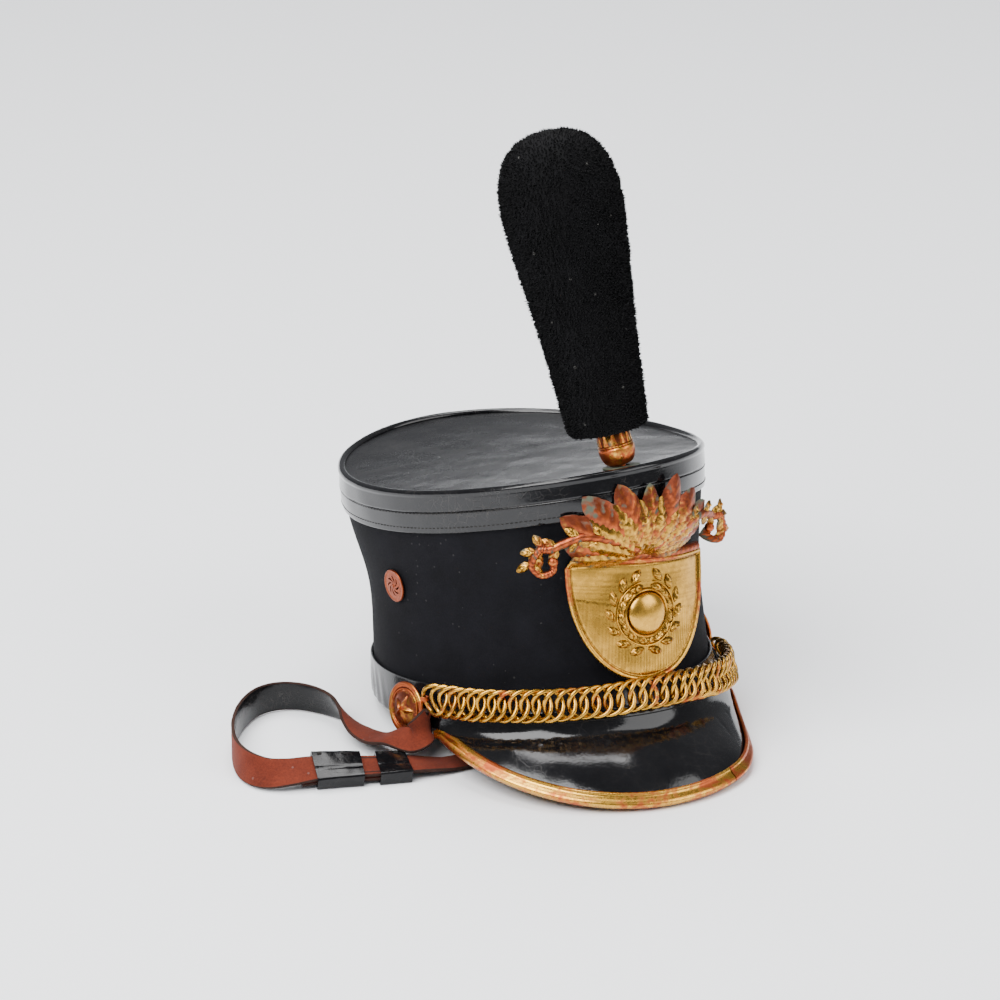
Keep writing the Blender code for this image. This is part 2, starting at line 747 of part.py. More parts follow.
def make_hook(parent, side):
    """A flat strip from the button's shank that bends round the end link's wire from behind."""
    end = chain_frame(side * CHAIN_END[side])
    along = (end.to_3x3() @ Vector((side, 0.0, 0.0))).normalized()
    out = (end.to_3x3() @ Vector((0.0, 1.0, 0.0))).normalized()
    up = (end.to_3x3() @ Vector((0.0, 0.0, 1.0))).normalized()
    wire = end.translation + along * LINK_RADIUS
    clear = LINK_WIRE + GAP * 3.0 + HOOK_THICKNESS / 2.0
    frame = button_frame(side)
    aim = (frame.inverted() @ wire).xy.normalized()
    bend = [
        wire + along * clear * math.cos(math.radians(turn)) + out * clear * math.sin(math.radians(turn))
        for turn in (270, 225, 180, 135, 90)
    ]
    flat = [frame @ Vector((aim.x * reach, aim.y * reach, HOOK_DEPTH)) for reach in HOOK_REACH]
    route = flat + bend
    sideways = frame.to_3x3() @ Vector((-aim.y * -side, aim.x * -side, 0.0))
    axes = [sideways] * len(flat) + [up] * len(bend)
    shape = sweep(route, axes, HOOK_WIDTH, HOOK_THICKNESS, HOOK_END_WIDTH)
    name = "chain_hook_" + SIDE_NAMES[side]
    hook = add_object(name, mesh_from_bmesh(name, shape), copper, parent)
    add_boolean(hook, shank_clearance(parent, side), "DIFFERENCE")


def shank_clearance(parent, side):
    """A cutter that opens the strap's and the hook's end for the button's shank."""
    name = "shank_clearance_" + SIDE_NAMES[side]
    found = bpy.data.objects.get(name)
    if found:
        return found
    hole = bmesh.new()
    radius = SHANK_RADIUS + GAP
    bmesh.ops.create_cone(
        hole, cap_ends=True, segments=8, radius1=radius, radius2=radius, depth=0.012,
        matrix=Matrix.Translation((0.0, 0.0, -0.004)),
    )
    cutter = add_cutter(name, mesh_from_bmesh(name, hole), parent)
    cutter.matrix_local = button_frame(side)
    return cutter


# ---------------------------------------------------------------------------- vents

def make_vent(parent, side):
    """A pierced disc over a hole in the cloth, with eight slanting slots like a pinwheel."""
    outline = (
        (0.0, GAP),
        (VENT_RADIUS, GAP),
        (VENT_RADIUS, 0.0009),
        (VENT_RADIUS - 0.0010, 0.0015),
        (0.0, 0.0017),
    )
    shape = turned(outline, 14)
    name = "vent_" + SIDE_NAMES[side]
    vent = add_object(name, mesh_from_bmesh(name, shape), copper, parent)
    frame = wall_frame(side * VENT_ANGLE, VENT_HEIGHT, VENT_STANDOFF)
    vent.matrix_local = frame
    slots = []
    for slot in range(VENT_SLOTS):
        start = math.tau * slot / VENT_SLOTS
        rows = []
        for step in range(2):
            radius = 0.0019 + 0.0024 * step
            turn = start + 0.55 * step
            middle = Vector((radius * math.cos(turn), radius * math.sin(turn), 0.0))
            across = Vector((-math.sin(turn + 0.5), math.cos(turn + 0.5), 0.0))
            half = 0.00035 + 0.00050 * step
            lift = Vector((0.0, 0.0, 0.006))
            a = middle - across * half
            b = middle + across * half
            rows.append([a - lift, b - lift, b + lift, a + lift])
        slots.append(loft(rows, cap_start=True, cap_end=True))
    cutter = add_cutter(name + "_slots", mesh_from_bmesh(name + "_slots", join_shapes(slots)), parent)
    cutter.matrix_local = frame
    add_boolean(vent, cutter, "DIFFERENCE")


# ---------------------------------------------------------------------------- front plate

def plate_point(across, up, lift):
    """A place on the bent plate: across and up on the flat plate, lift out of its back face.

    The shield is part of a cylinder. Beside it the crest runs on straight."""
    u = across * math.cos(PLATE_ROLL) + up * math.sin(PLATE_ROLL)
    v = -across * math.sin(PLATE_ROLL) + up * math.cos(PLATE_ROLL)
    beside = max(abs(across) - SHIELD_WIDTH / 2.0, 0.0)
    bend = min(max(v, 0.0) / CREST_BEND + beside / CREST_SPREAD, 1.0)
    shift = math.tan(SHIELD_FORWARD) * min(v, 0.0) - CREST_FORWARD * (1.0 - (1.0 - bend) ** 2)
    radius = PLATE_RADIUS + lift
    curled = min(max(u, -SHIELD_WIDTH / 2.0), SHIELD_WIDTH / 2.0)
    turn = curled / PLATE_RADIUS
    x = radius * math.sin(turn) + (u - curled) * math.cos(turn)
    y = PLATE_Y + PLATE_RADIUS - radius * math.cos(turn) + (u - curled) * math.sin(turn) + shift
    z = PLATE_HEIGHT + v
    point = Vector((x, y, z))
    return Matrix.Rotation(PLATE_TURN, 3, "Z") @ point


def shield_half_width(drop):
    share = min(1.0, drop / SHIELD_DROP)
    return SHIELD_WIDTH / 2.0 * math.sqrt(1.0 - share ** SHIELD_FULLNESS)


def shield_shape():
    rows = []
    drops = [SHIELD_DROP * share for share in (0.0, 0.024, 0.047, 0.27, 0.50, 0.69, 0.83, 0.93, 0.985)]
    for drop in drops:
        half = shield_half_width(drop)
        rim = min(SHIELD_RIM, half * 0.45)
        places = [-half, -half + rim * 0.5, -half + rim]
        inner = half - rim
        places += [inner * share for share in (-0.6, -0.2, 0.2, 0.6)]
        places += [half - rim, half - rim * 0.5, half]
        row = []
        for place in places:
            edge = min(half - abs(place), drop, (SHIELD_DROP - drop) * 0.8)
            rise = SHIELD_RIM_RISE * (1.0 - abs(edge / (SHIELD_RIM * 0.5) - 1.0))
            rise = max(0.0, min(SHIELD_RIM_RISE, rise))
            row.append(plate_point(place, -drop, PLATE_THICKNESS + rise))
        rows.append((row, [plate_point(place, -drop, 0.0) for place in places]))
    rings = [front + list(reversed(back)) for front, back in rows]
    return loft(rings, cap_start=True, cap_end=True)


def leaf_shape(root, angle, length, width, rise, low=0.0003, flat=0.0012):
    """A pointed leaf with a raised midrib. root is its stalk's place, angle is from upright."""
    direction = Vector((math.sin(angle), math.cos(angle)))
    side = Vector((direction.y, -direction.x))
    tip = root + direction * length
    middle = root + direction * length * 0.45
    left = middle - side * width / 2.0
    right = middle + side * width / 2.0
    shape = bmesh.new()
    a = shape.verts.new(plate_point(root.x, root.y, flat))
    b = shape.verts.new(plate_point(tip.x, tip.y, flat))
    c = shape.verts.new(plate_point(left.x, left.y, flat))
    d = shape.verts.new(plate_point(right.x, right.y, flat))
    top = shape.verts.new(plate_point(middle.x, middle.y, rise))
    bottom = shape.verts.new(plate_point(middle.x, middle.y, low))
    for first, second in ((a, c), (c, b), (b, d), (d, a)):
        shape.faces.new((first, second, top))
        shape.faces.new((second, first, bottom))
    return shape


def strip_shape(points, half_width, base, rise):
    """A raised strip along points of the flat plate."""
    rings = []
    last = len(points) - 1
    for i, point in enumerate(points):
        along = (points[min(i + 1, last)] - points[max(i - 1, 0)]).normalized()
        side = Vector((along.y, -along.x)) * half_width
        left = point - side
        right = point + side
        rings.append([
            plate_point(left.x, left.y, base),
            plate_point(right.x, right.y, base),
            plate_point(right.x, right.y, base + rise * 0.55),
            plate_point(point.x, point.y, base + rise),
            plate_point(left.x, left.y, base + rise * 0.55),
        ])
    return loft(rings, cap_start=True, cap_end=True)


# The crest's leaves on each side of its middle leaf: angle from upright, length and width.
PALMETTE_COLUMNS = ("angle", "length", "width")
PALMETTE = (
    (0, 0.0400, 0.0125),
    (22, 0.0450, 0.0135),
    (43, 0.0500, 0.0150),
    (60, 0.0520, 0.0150),
    (76, 0.0440, 0.0120),
)


def stalk_points(side):
    """One of the crest's stalks, from its middle out to a scroll that curls down and in."""
    points = []
    for step in range(4):
        share = step / 3.0
        up = 0.005 + 0.015 * math.sin(1.95 * share) - 0.007 * share ** 3
        points.append(Vector((side * (0.004 + 0.048 * share), up)))
    centre = points[-1] + Vector((side * 0.0030, -0.0080))
    for step in range(5):
        turn = math.radians(70 - 68 * step)
        radius = 0.0080 - 0.00100 * step
        points.append(centre + Vector((side * radius * math.cos(turn), radius * math.sin(turn))))
    return points


def crest_shapes():
    """A wide palmette over two stalks that end in scrolls, leaning a little to the left."""
    lean = Matrix.Rotation(CREST_LEAN, 2)
    shift = Vector((CREST_SHIFT, 0.0))
    base_line = [Vector((-0.036 + 0.018 * i, 0.0012)) for i in range(5)]
    shapes = [strip_shape(base_line, 0.0036, 0.0, 0.0022)]
    for side in (-1, 1):
        stalk = [lean @ point + shift for point in stalk_points(side)]
        shapes.append(strip_shape(stalk, 0.0025, 0.0002, 0.0024))
    for step, row in enumerate(PALMETTE):
        leaf = dict(zip(PALMETTE_COLUMNS, row))
        for side in ((-1, 1) if step else (1,)):
            root = Vector((side * 0.0008 * step, 0.0015)) + shift
            turn = side * math.radians(leaf["angle"]) - CREST_LEAN
            rise = 0.0052 - 0.0005 * step
            shapes.append(leaf_shape(root, turn, leaf["length"], leaf["width"], rise))
    return shapes


def round_strip(centre, outline, sides):
    """A round relief on the plate, from an outline of radius and lift."""
    rings = []
    for radius, lift in outline:
        turns = [math.tau * i / sides for i in range(sides)]
        places = [centre + Vector((math.cos(turn), math.sin(turn))) * radius for turn in turns]
        rings.append([plate_point(place.x, place.y, lift) for place in places])
    return rings


def wreath_shapes():
    """A domed boss with a raised wreath round it, in the middle of the shield."""
    centre = Vector((0.0, -0.0285))
    boss = ((0.0, 0.0004), (0.0090, 0.0004), (0.0086, 0.0026), (0.0055, 0.0046), (0.0, 0.0054))
    dome = loft(round_strip(centre, boss, 10))
    close_poles(dome)
    wreath = ((0.0128, 0.0004), (0.0202, 0.0004), (0.0198, 0.0022), (0.0166, 0.0032), (0.0132, 0.0022))
    return [dome, loft(round_strip(centre, wreath, 14), closed_profile=True)]


def make_plate(parent):
    shapes = [shield_shape()] + crest_shapes() + wreath_shapes()
    fuse("front_plate", shapes, brass, parent)


# ---------------------------------------------------------------------------- pompon

def leaning_frame(x, inset, side_lean):
    """A matrix on the crown, inset from its front edge. Its Z leans back and to one side."""
    crown = body_section(CROWN_HEIGHT)
    y = oval_point(crown, 0.0).y + inset
    foot = Vector((x, y, crown_surface(x, y)))
    axis = Vector((-math.sin(side_lean), math.sin(BACK_LEAN), 1.0)).normalized()
    across = Vector((1.0, 0.0, 0.0))
    across = (across - axis * across.dot(axis)).normalized()
    frame = Matrix((across, axis.cross(across), axis)).transposed().to_4x4()
    frame.translation = foot
    return frame


def make_socket_washer(parent, frame):
    low = GAP + 0.0001
    outline = (
        (WASHER_HOLE, low),
        (WASHER_RADIUS, low),
        (WASHER_RADIUS, low + WASHER_THICKNESS * 0.7),
        (WASHER_RADIUS - 0.0008, low + WASHER_THICKNESS),
        (WASHER_HOLE, low + WASHER_THICKNESS),
    )
    shape = turned_ring(outline, 14)
    washer = add_object("socket_washer", mesh_from_bmesh("socket_washer", shape), tin, parent)
    centre = frame.translation
    step = 0.004
    ahead = Vector((centre.x, centre.y - step, crown_surface(centre.x, centre.y - step)))
    behind = Vector((centre.x, centre.y + step, crown_surface(centre.x, centre.y + step)))
    tip = math.atan2(behind.z - ahead.z, behind.y - ahead.y)
    washer.matrix_local = Matrix.Translation(centre) @ Matrix.Rotation(tip, 4, "X")


def make_socket(parent, frame):
    """A bullet-shaped brass holder with a plain pin through the crown."""
    foot = GAP * 2.0 + WASHER_THICKNESS + 0.0004
    outline = (
        (0.0, -0.0110),
        (SOCKET_PIN_RADIUS, -0.0110),
        (SOCKET_PIN_RADIUS, foot),
        (0.0048, foot + 0.0002),
        (0.0076, foot + 0.0028),
        (SOCKET_RADIUS - 0.0003, foot + 0.0075),
        (SOCKET_RADIUS, foot + 0.0095),
        (SOCKET_RADIUS - 0.0006, foot + 0.0115),
        (SOCKET_RADIUS - 0.0006, SOCKET_TOP),
        (0.0, SOCKET_TOP),
    )
    shape = turned(outline, 14)
    socket = add_object("pompon_socket", mesh_from_bmesh("pompon_socket", shape), brass, parent)
    socket.matrix_local = frame


def make_pompon(parent, frame, socket):
    """A head of short wool tufts, hollow at its foot where the socket goes in."""
    outline = [(0.0, POMPON_OUTLINE[0][0])]
    tufted = len(outline)
    steps = 12
    for step in range(steps + 1):
        position = (len(POMPON_OUTLINE) - 1) * step / steps
        along, radius = curve_through(POMPON_OUTLINE, position)
        outline.append((radius, along))
    outline.append((0.0, POMPON_TOP))
    rings = []
    for row, (radius, along) in enumerate(outline):
        ring = []
        for i in range(POMPON_SIDES):
            turn = math.tau * i / POMPON_SIDES
            tuft = 0.0
            if tufted < row < len(outline) - 1:
                tuft = TUFT_DEPTH * (1.0 if (i + row) % 2 else -1.0)
            reach = radius + tuft
            ring.append((reach * math.cos(turn), reach * math.sin(turn), along))
        rings.append(ring)
    shape = loft(rings)
    close_poles(shape)
    pompon = add_object("pompon", mesh_from_bmesh("pompon", shape), pile, parent, 80)
    pompon.matrix_local = frame
    recess = SOCKET_RADIUS - 0.0006 + GAP
    hole = turned([(0.0, 0.0), (recess, 0.0), (recess, SOCKET_TOP + GAP), (0.0, SOCKET_TOP + GAP)], 14)
    cutter = add_cutter("pompon_recess", mesh_from_bmesh("pompon_recess", hole), parent)
    cutter.matrix_local = socket
    add_boolean(pompon, cutter, "DIFFERENCE")


# ---------------------------------------------------------------------------- chin strap

def strap_station(position, floor):
    """The strap's middle, its way along and its width direction at a place on the route."""
    x, y, height, lean = curve_through(STRAP_ROUTE, position)
    before = curve_through(STRAP_ROUTE, max(position - 0.05, 0.0))
    after = curve_through(STRAP_ROUTE, min(position + 0.05, len(STRAP_ROUTE) - 1.0))
    along = Vector((after[0] - before[0], after[1] - before[1], after[2] - before[2])).normalized()
    level = Vector((along.x, along.y, 0.0)).normalized()
    left = Vector((-level.y, level.x, 0.0))
    turn = math.radians(lean)
    across = left * math.sin(turn) + Vector((0.0, 0.0, math.cos(turn)))
    across = (across - along * across.dot(along)).normalized()
    return Vector((x, y, height + floor)), along, across


def strap_piece(start, end, count, floor, shift):
    """A strip that follows the strap between two places, moved off it by shift."""
    route = []
    axes = []
    for i in range(count):
        centre, along, across = strap_station(start + (end - start) * i / (count - 1), floor)
        route.append(centre + along.cross(across) * shift)
        axes.append(across)
    return sweep(route, axes, STRAP_WIDTH, STRAP_THICKNESS)


def make_strap(parent, hat, floor):
    left = hat.matrix_basis @ button_frame(-1)
    right = hat.matrix_basis @ button_frame(1)
    route = [left @ Vector((-back, rise, depth)) for back, rise, depth in STRAP_LEFT_END]
    axes = [(left.to_3x3() @ Vector((0.0, 1.0, 0.0)))] * len(route)
    positions = [
        step / 2.0 for step in range(2 * len(STRAP_ROUTE) - 1)
        if step < 2 * STRAP_BENDS or step % 2 == 0 or LAP_START - 1.0 < step / 2.0 < LAP_END
    ]
    for position in positions:
        centre, _, across = strap_station(position, floor)
        route.append(centre)
        axes.append(across)
    for x, height in STRAP_RIGHT_END:
        route.append(Vector((x, right.translation.y, height + floor)))
        axes.append(Vector((0.0, -1.0, 0.0)))
    for reach, depth in STRAP_RIGHT_TOP:
        route.append(right @ Vector((0.0, reach, depth)))
        axes.append(right.to_3x3() @ Vector((-1.0, 0.0, 0.0)))
    shape = sweep(route, axes, STRAP_WIDTH, STRAP_THICKNESS)
    strap = add_object("chin_strap", mesh_from_bmesh("chin_strap", shape), strap_leather, parent)
    for side in (-1, 1):
        add_boolean(strap, shank_clearance(hat, side), "DIFFERENCE")
    lap = strap_piece(LAP_START, LAP_END, 8, floor, STRAP_THICKNESS + 3.0 * GAP)
    add_object("strap_lap", mesh_from_bmesh("strap_lap", lap), strap_leather, parent)


def make_keeper(parent, name, start, end, floor):
    """A leather loop round the strap and its lap. It bends where they do, at each half row."""
    inner_width = STRAP_WIDTH + 8.0 * GAP
    inner_depth = 2.0 * STRAP_THICKNESS + 7.0 * GAP
    shift = (STRAP_THICKNESS + 3.0 * GAP) / 2.0
    rings = []
    spans = round((end - start) * 2.0)
    for i in range(spans + 1):
        position = start + (end - start) * i / spans
        centre, along, across = strap_station(position, floor)
        face = along.cross(across)
        centre = centre + face * shift
        for grow in ((0.0, KEEPER_WALL) if i == spans else (KEEPER_WALL,)):
            rings.append((grow, [
                centre + across * a * (inner_width / 2.0 + grow) + face * b * (inner_depth / 2.0 + grow)
                for a, b in ((-1, -1), (1, -1), (1, 1), (-1, 1))
            ]))
    outer = [ring for grow, ring in rings if grow > 0.0]
    inner = []
    for i in range(spans + 1):
        position = end + (start - end) * i / spans
        centre, along, across = strap_station(position, floor)
        face = along.cross(across)
        centre = centre + face * shift
        inner.append([
            centre + across * a * inner_width / 2.0 + face * b * inner_depth / 2.0
            for a, b in ((-1, -1), (1, -1), (1, 1), (-1, 1))
        ])
    shape = loft(outer + inner, closed_profile=True)
    add_object(name, mesh_from_bmesh(name, shape), patent, parent)


# ---------------------------------------------------------------------------- assembly

def resting_tilt():
    """The angle at which the visor's lowest edge and the back of the rim share one level."""
    back = oval_point(body_section(0.0), math.pi, GAP + BAND_LEATHER)
    tilt = 0.0
    for i in range(VISOR_SEGMENTS + 1):
        share = -1.0 + 2.0 * i / VISOR_SEGMENTS
        for inward, lift in binding_profile(share):
            low = visor_place(share, inward, lift)
            tilt = max(tilt, math.atan2(back.z - low.z, back.y - low.y))
    return tilt, back


def stand_on_floor(root):
    """Moves the whole assembly so that its box stands on the origin."""
    bpy.context.view_layer.update()
    graph = bpy.context.evaluated_depsgraph_get()
    low = Vector((1.0, 1.0, 1.0))
    high = -low
    for piece in parts.objects:
        if piece.type != "MESH":
            continue
        solid = piece.evaluated_get(graph)
        for vertex in solid.to_mesh().vertices:
            place = piece.matrix_world @ vertex.co
            low = Vector(map(min, low, place))
            high = Vector(map(max, high, place))
        solid.to_mesh_clear()
    root.location = (-(low.x + high.x) / 2.0, -(low.y + high.y) / 2.0, -low.z)
    bpy.context.view_layer.update()


def make_empty(name, parent=None):
    item = bpy.data.objects.new(name, None)
    parts.objects.link(item)
    item.parent = parent
    return item


SIDE_NAMES = {-1: "left", 1: "right"}

empty_scene()
parts = new_collection("shako_hat")
cutters = new_collection("shako_hat_cutters")

wool = principled("wool_cloth", (0.012, 0.013, 0.018), 0.95)
patent = principled("patent_leather", (0.012, 0.012, 0.014), 0.18)
brass = principled("brass", (0.62, 0.42, 0.14), 0.32, 1.0)
copper = principled("tarnished_copper", (0.45, 0.19, 0.11), 0.45, 1.0)
tin = principled("dull_tin", (0.22, 0.22, 0.18), 0.55, 0.8)
pile = principled("wool_pile", (0.008, 0.008, 0.009), 1.0)
strap_leather = principled("strap_leather", (0.16, 0.045, 0.025), 0.6)

assembly = make_empty("assembly")
hat_frame = make_empty("hat_frame", assembly)
TILT, RIM_BACK = resting_tilt()
hat_frame.rotation_euler = (-TILT, 0.0, 0.0)
FLOOR = (Matrix.Rotation(-TILT, 3, "X") @ RIM_BACK).z

SOCKET = leaning_frame(SOCKET_X, SOCKET_INSET, SOCKET_SIDE_LEAN)
POMPON = leaning_frame(POMPON_X, POMPON_INSET, POMPON_SIDE_LEAN)
make_wool_body(hat_frame)
make_base_band(hat_frame)
make_crown_band(hat_frame)
make_crown_top(hat_frame, SOCKET)
make_visor(hat_frame)
make_visor_binding(hat_frame)
make_chain(hat_frame)
for hand in (-1, 1):
    make_button(hat_frame, hand)
    make_hook(hat_frame, hand)
    make_vent(hat_frame, hand)
make_plate(hat_frame)
make_socket_washer(hat_frame, SOCKET)
make_socket(hat_frame, SOCKET)
make_pompon(hat_frame, POMPON, SOCKET)
make_strap(assembly, hat_frame, FLOOR)
make_keeper(assembly, "keeper_outer", 20.0, 21.5, FLOOR)
make_keeper(assembly, "keeper_inner", 22.0, 23.0, FLOOR)
stand_on_floor(assembly)
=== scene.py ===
# %% [markdown]
# # A dress shako
#
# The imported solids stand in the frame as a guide. Each of them is plain, so every one is replaced
# here by a finer piece at the same place: cloth, patent leather, cast brass, a chain, a pompon and
# a strap. The hat is modelled upright in its own frame, and one matrix tips it back to where it
# rests. Angles round the hat are 0 at the front and grow towards +X.

# %% load the frame
import math
import random
from functools import lru_cache

import bmesh
import bpy
import numpy as np
from mathutils import Matrix, Vector, noise


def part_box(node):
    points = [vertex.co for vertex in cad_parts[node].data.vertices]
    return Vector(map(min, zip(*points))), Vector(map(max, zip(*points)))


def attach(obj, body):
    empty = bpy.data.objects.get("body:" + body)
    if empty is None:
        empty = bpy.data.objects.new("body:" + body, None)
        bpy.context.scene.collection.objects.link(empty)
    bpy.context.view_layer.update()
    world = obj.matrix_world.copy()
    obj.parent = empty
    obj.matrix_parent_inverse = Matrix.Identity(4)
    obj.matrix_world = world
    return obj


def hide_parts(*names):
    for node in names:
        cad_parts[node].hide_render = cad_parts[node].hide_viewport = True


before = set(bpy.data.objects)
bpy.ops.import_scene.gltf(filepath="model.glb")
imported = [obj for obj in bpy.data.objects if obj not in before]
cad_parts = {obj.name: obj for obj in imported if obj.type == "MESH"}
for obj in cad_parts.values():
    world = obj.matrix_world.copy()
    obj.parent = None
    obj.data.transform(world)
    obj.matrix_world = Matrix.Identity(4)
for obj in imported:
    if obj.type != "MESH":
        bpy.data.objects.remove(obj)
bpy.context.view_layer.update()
rng = random.Random(7)
print("solids:", ", ".join(sorted(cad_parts)))

# %% [markdown]
# ## The hat's own shape
#
# A shako's body isn't a cone. Its rim follows the head, its waist is narrower, and it flares to a
# wide oval crown that slopes up to the front. A few oval sections say all of this. A smooth curve
# runs through them, so that any height and angle gives a point of the wall.

# %% sections of the body
GAP = 0.0003
FELT = 0.0024
PATENT = 0.0015
LEATHER = 0.0020
TILT = 0.125375
SECTION_COLUMNS = ("height", "half_width", "half_depth", "centre_y", "slope", "egg", "saddle", "sag")
BODY_SECTIONS = (
    (0.0000, 0.0870, 0.1002, 0.0000, 0.000, 0.000, 0.0000, 0.0080),
    (0.0205, 0.0856, 0.0958, 0.0040, -0.030, 0.004, 0.0000, 0.0080),
    (0.0615, 0.0839, 0.0953, 0.0053, -0.070, 0.010, 0.0020, 0.0020),
    (0.1028, 0.0868, 0.1120, 0.0096, -0.087, 0.023, 0.0043, 0.0000),
    (0.1237, 0.0873, 0.1124, 0.0101, -0.087, 0.023, 0.0043, 0.0000),
)
SAG = BODY_SECTIONS[0][-1]
CROWN_LOW = 0.1028
CROWN_HIGH = 0.1237
CROWN_ROLL = 0.0022
CROWN_DISH = 0.0012


def curve_through(rows, position):
    """A smooth curve through the rows at an even spacing of 1: the row at any position."""
    last = len(rows) - 1
    index = min(max(int(position), 0), last - 1)
    t = position - index
    four = (rows[max(index - 1, 0)], rows[index], rows[index + 1], rows[min(index + 2, last)])
    weights = (
        -0.5 * t + t ** 2 - 0.5 * t ** 3,
        1.0 - 2.5 * t ** 2 + 1.5 * t ** 3,
        0.5 * t + 2.0 * t ** 2 - 1.5 * t ** 3,
        -0.5 * t ** 2 + 0.5 * t ** 3,
    )
    return tuple(sum(w * row[i] for w, row in zip(weights, four)) for i in range(len(rows[0])))


@lru_cache(maxsize=None)
def body_section(height):
    """The body's oval at a height, as a dictionary of the columns."""
    heights = [row[0] for row in BODY_SECTIONS]
    index = max(i for i in range(len(heights) - 1) if heights[i] <= max(height, 0.0) + 1e-9)
    span = heights[index + 1] - heights[index]
    row = curve_through(BODY_SECTIONS, index + (height - heights[index]) / span)
    section = dict(zip(SECTION_COLUMNS, row))
    section["height"] = height
    return section


def hang(angle):
    """The share of the sag at an angle: the old hat is bent down at its right side."""
    over = math.sin(angle) + 0.45
    sideways = (over + math.sqrt(over ** 2 + 0.02)) / 2.0 / 1.45
    forward = min(max((math.cos(angle) + 0.2) / 0.7, 0.0), 1.0)
    return sideways * forward ** 2 * (3.0 - 2.0 * forward)


def oval_point(section, angle, offset=0.0, scale=1.0):
    """A point on a section's oval, moved outwards by offset."""
    stretch = 1.0 + section["egg"] * math.cos(3.0 * angle)
    x = (section["half_width"] + offset) * math.sin(angle) * stretch * scale
    forward = (section["half_depth"] + offset) * math.cos(angle) * stretch * scale
    saddle = section["saddle"] * math.cos(2.0 * angle) * scale ** 2
    z = section["height"] - section["slope"] * forward + saddle - section["sag"] * hang(angle)
    return Vector((x, section["centre_y"] - forward, z))


def wall_point(angle, height, offset=0.0):
    return oval_point(body_section(height), angle, offset)


def frame_at(centre, x, y, z):
    """A matrix at centre with its axes along three directions."""
    matrix = Matrix((x, y, z)).transposed().to_4x4()
    matrix.translation = centre
    return matrix


def square_frame(centre, along, upwards, outside):
    """A matrix at centre: X along, Z square to along and upwards on the side of outside."""
    out = along.cross(upwards).normalized()
    if out.dot(outside) < 0.0:
        out.negate()
    along = along.normalized()
    return frame_at(centre, along, out.cross(along), out)


def wall_frame(angle, height, offset=0.0):
    """A matrix on the wall: X runs round the hat, Y up the wall, Z straight out of it."""
    step = 0.002
    centre = wall_point(angle, height, offset)
    along = wall_point(angle + step, height, offset) - wall_point(angle - step, height, offset)
    upwards = wall_point(angle, height + step, offset) - wall_point(angle, height - step, offset)
    return square_frame(centre, along, upwards, Vector((centre.x, centre.y, 0.0)))


tip_back = Matrix.Rotation(-TILT, 4, "X")
band_rear = [tip_back @ wall_point(math.pi, height, GAP + LEATHER) for height in (0.0, 0.0110)]
band_low, band_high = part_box("base_band")
RIM = Vector((
    (band_low.x + band_high.x) / 2.0,
    band_high.y - max(point.y for point in band_rear),
    band_low.z - min(point.z for point in band_rear),
))
HAT = Matrix.Translation(RIM) @ tip_back
print("centre of the rim:", [round(value * 1000, 2) for value in RIM], "mm")

# %% [markdown]
# ## Camera, floor and light
#
# The photograph looks down at the hat by 24 degrees, from 29 degrees to the left of its front, with
# a long lens from nearly 3 m away. The camera is aimed so that the middle of the rim falls where it
# does in the picture, with no lens shift. A pale sheet and pale surroundings stand for the studio.

# %% camera
VIEW_AZIMUTH = -0.50258
VIEW_ELEVATION = 0.41917
VIEW_DISTANCE = 2.75554
FOCAL_PIXELS = 5238.24
PICTURE = 1000.0
RIM_PIXEL = (546.857, 681.064)

level = math.cos(VIEW_ELEVATION)
back = Vector((math.sin(VIEW_AZIMUTH) * level, -math.cos(VIEW_AZIMUTH) * level, math.sin(VIEW_ELEVATION)))
right = Vector((math.cos(VIEW_AZIMUTH), math.sin(VIEW_AZIMUTH), 0.0))
up = back.cross(right)
aim = right * (PICTURE / 2.0 - RIM_PIXEL[0]) - up * (PICTURE / 2.0 - RIM_PIXEL[1]) - back * FOCAL_PIXELS
aim.normalize()
across = (right - aim * right.dot(aim)).normalized()
camera_data = bpy.data.cameras.new("camera")
camera_data.sensor_width = 36.0
camera_data.lens = camera_data.sensor_width * FOCAL_PIXELS / PICTURE
camera = bpy.data.objects.new("camera", camera_data)
camera.matrix_world = frame_at(RIM + back * VIEW_DISTANCE, across, -aim.cross(across), -aim)
bpy.context.scene.collection.objects.link(camera)
bpy.context.scene.camera = camera
print("camera at", [round(value, 3) for value in camera.location], "lens", round(camera_data.lens, 1))

# %% floor, surroundings and lamps
bpy.ops.object.select_all(action="DESELECT")
bpy.ops.mesh.primitive_plane_add(size=30.0, location=(0.0, 0.0, 0.0))
floor = bpy.context.active_object
floor.name = "floor"
paper = bpy.data.materials.new("pale_paper")
paper.use_nodes = True
paper_shader = paper.node_tree.nodes["Principled BSDF"]
paper_shader.inputs["Base Color"].default_value = (0.94, 0.95, 0.97, 1.0)
paper_shader.inputs["Roughness"].default_value = 0.9
paper_shader.inputs["Specular IOR Level"].default_value = 0.1
floor.data.materials.append(paper)

world = bpy.data.worlds.new("studio")
world.use_nodes = True
world.node_tree.nodes["Background"].inputs["Color"].default_value = (0.93, 0.95, 1.0, 1.0)
world.node_tree.nodes["Background"].inputs["Strength"].default_value = 0.30
bpy.context.scene.world = world

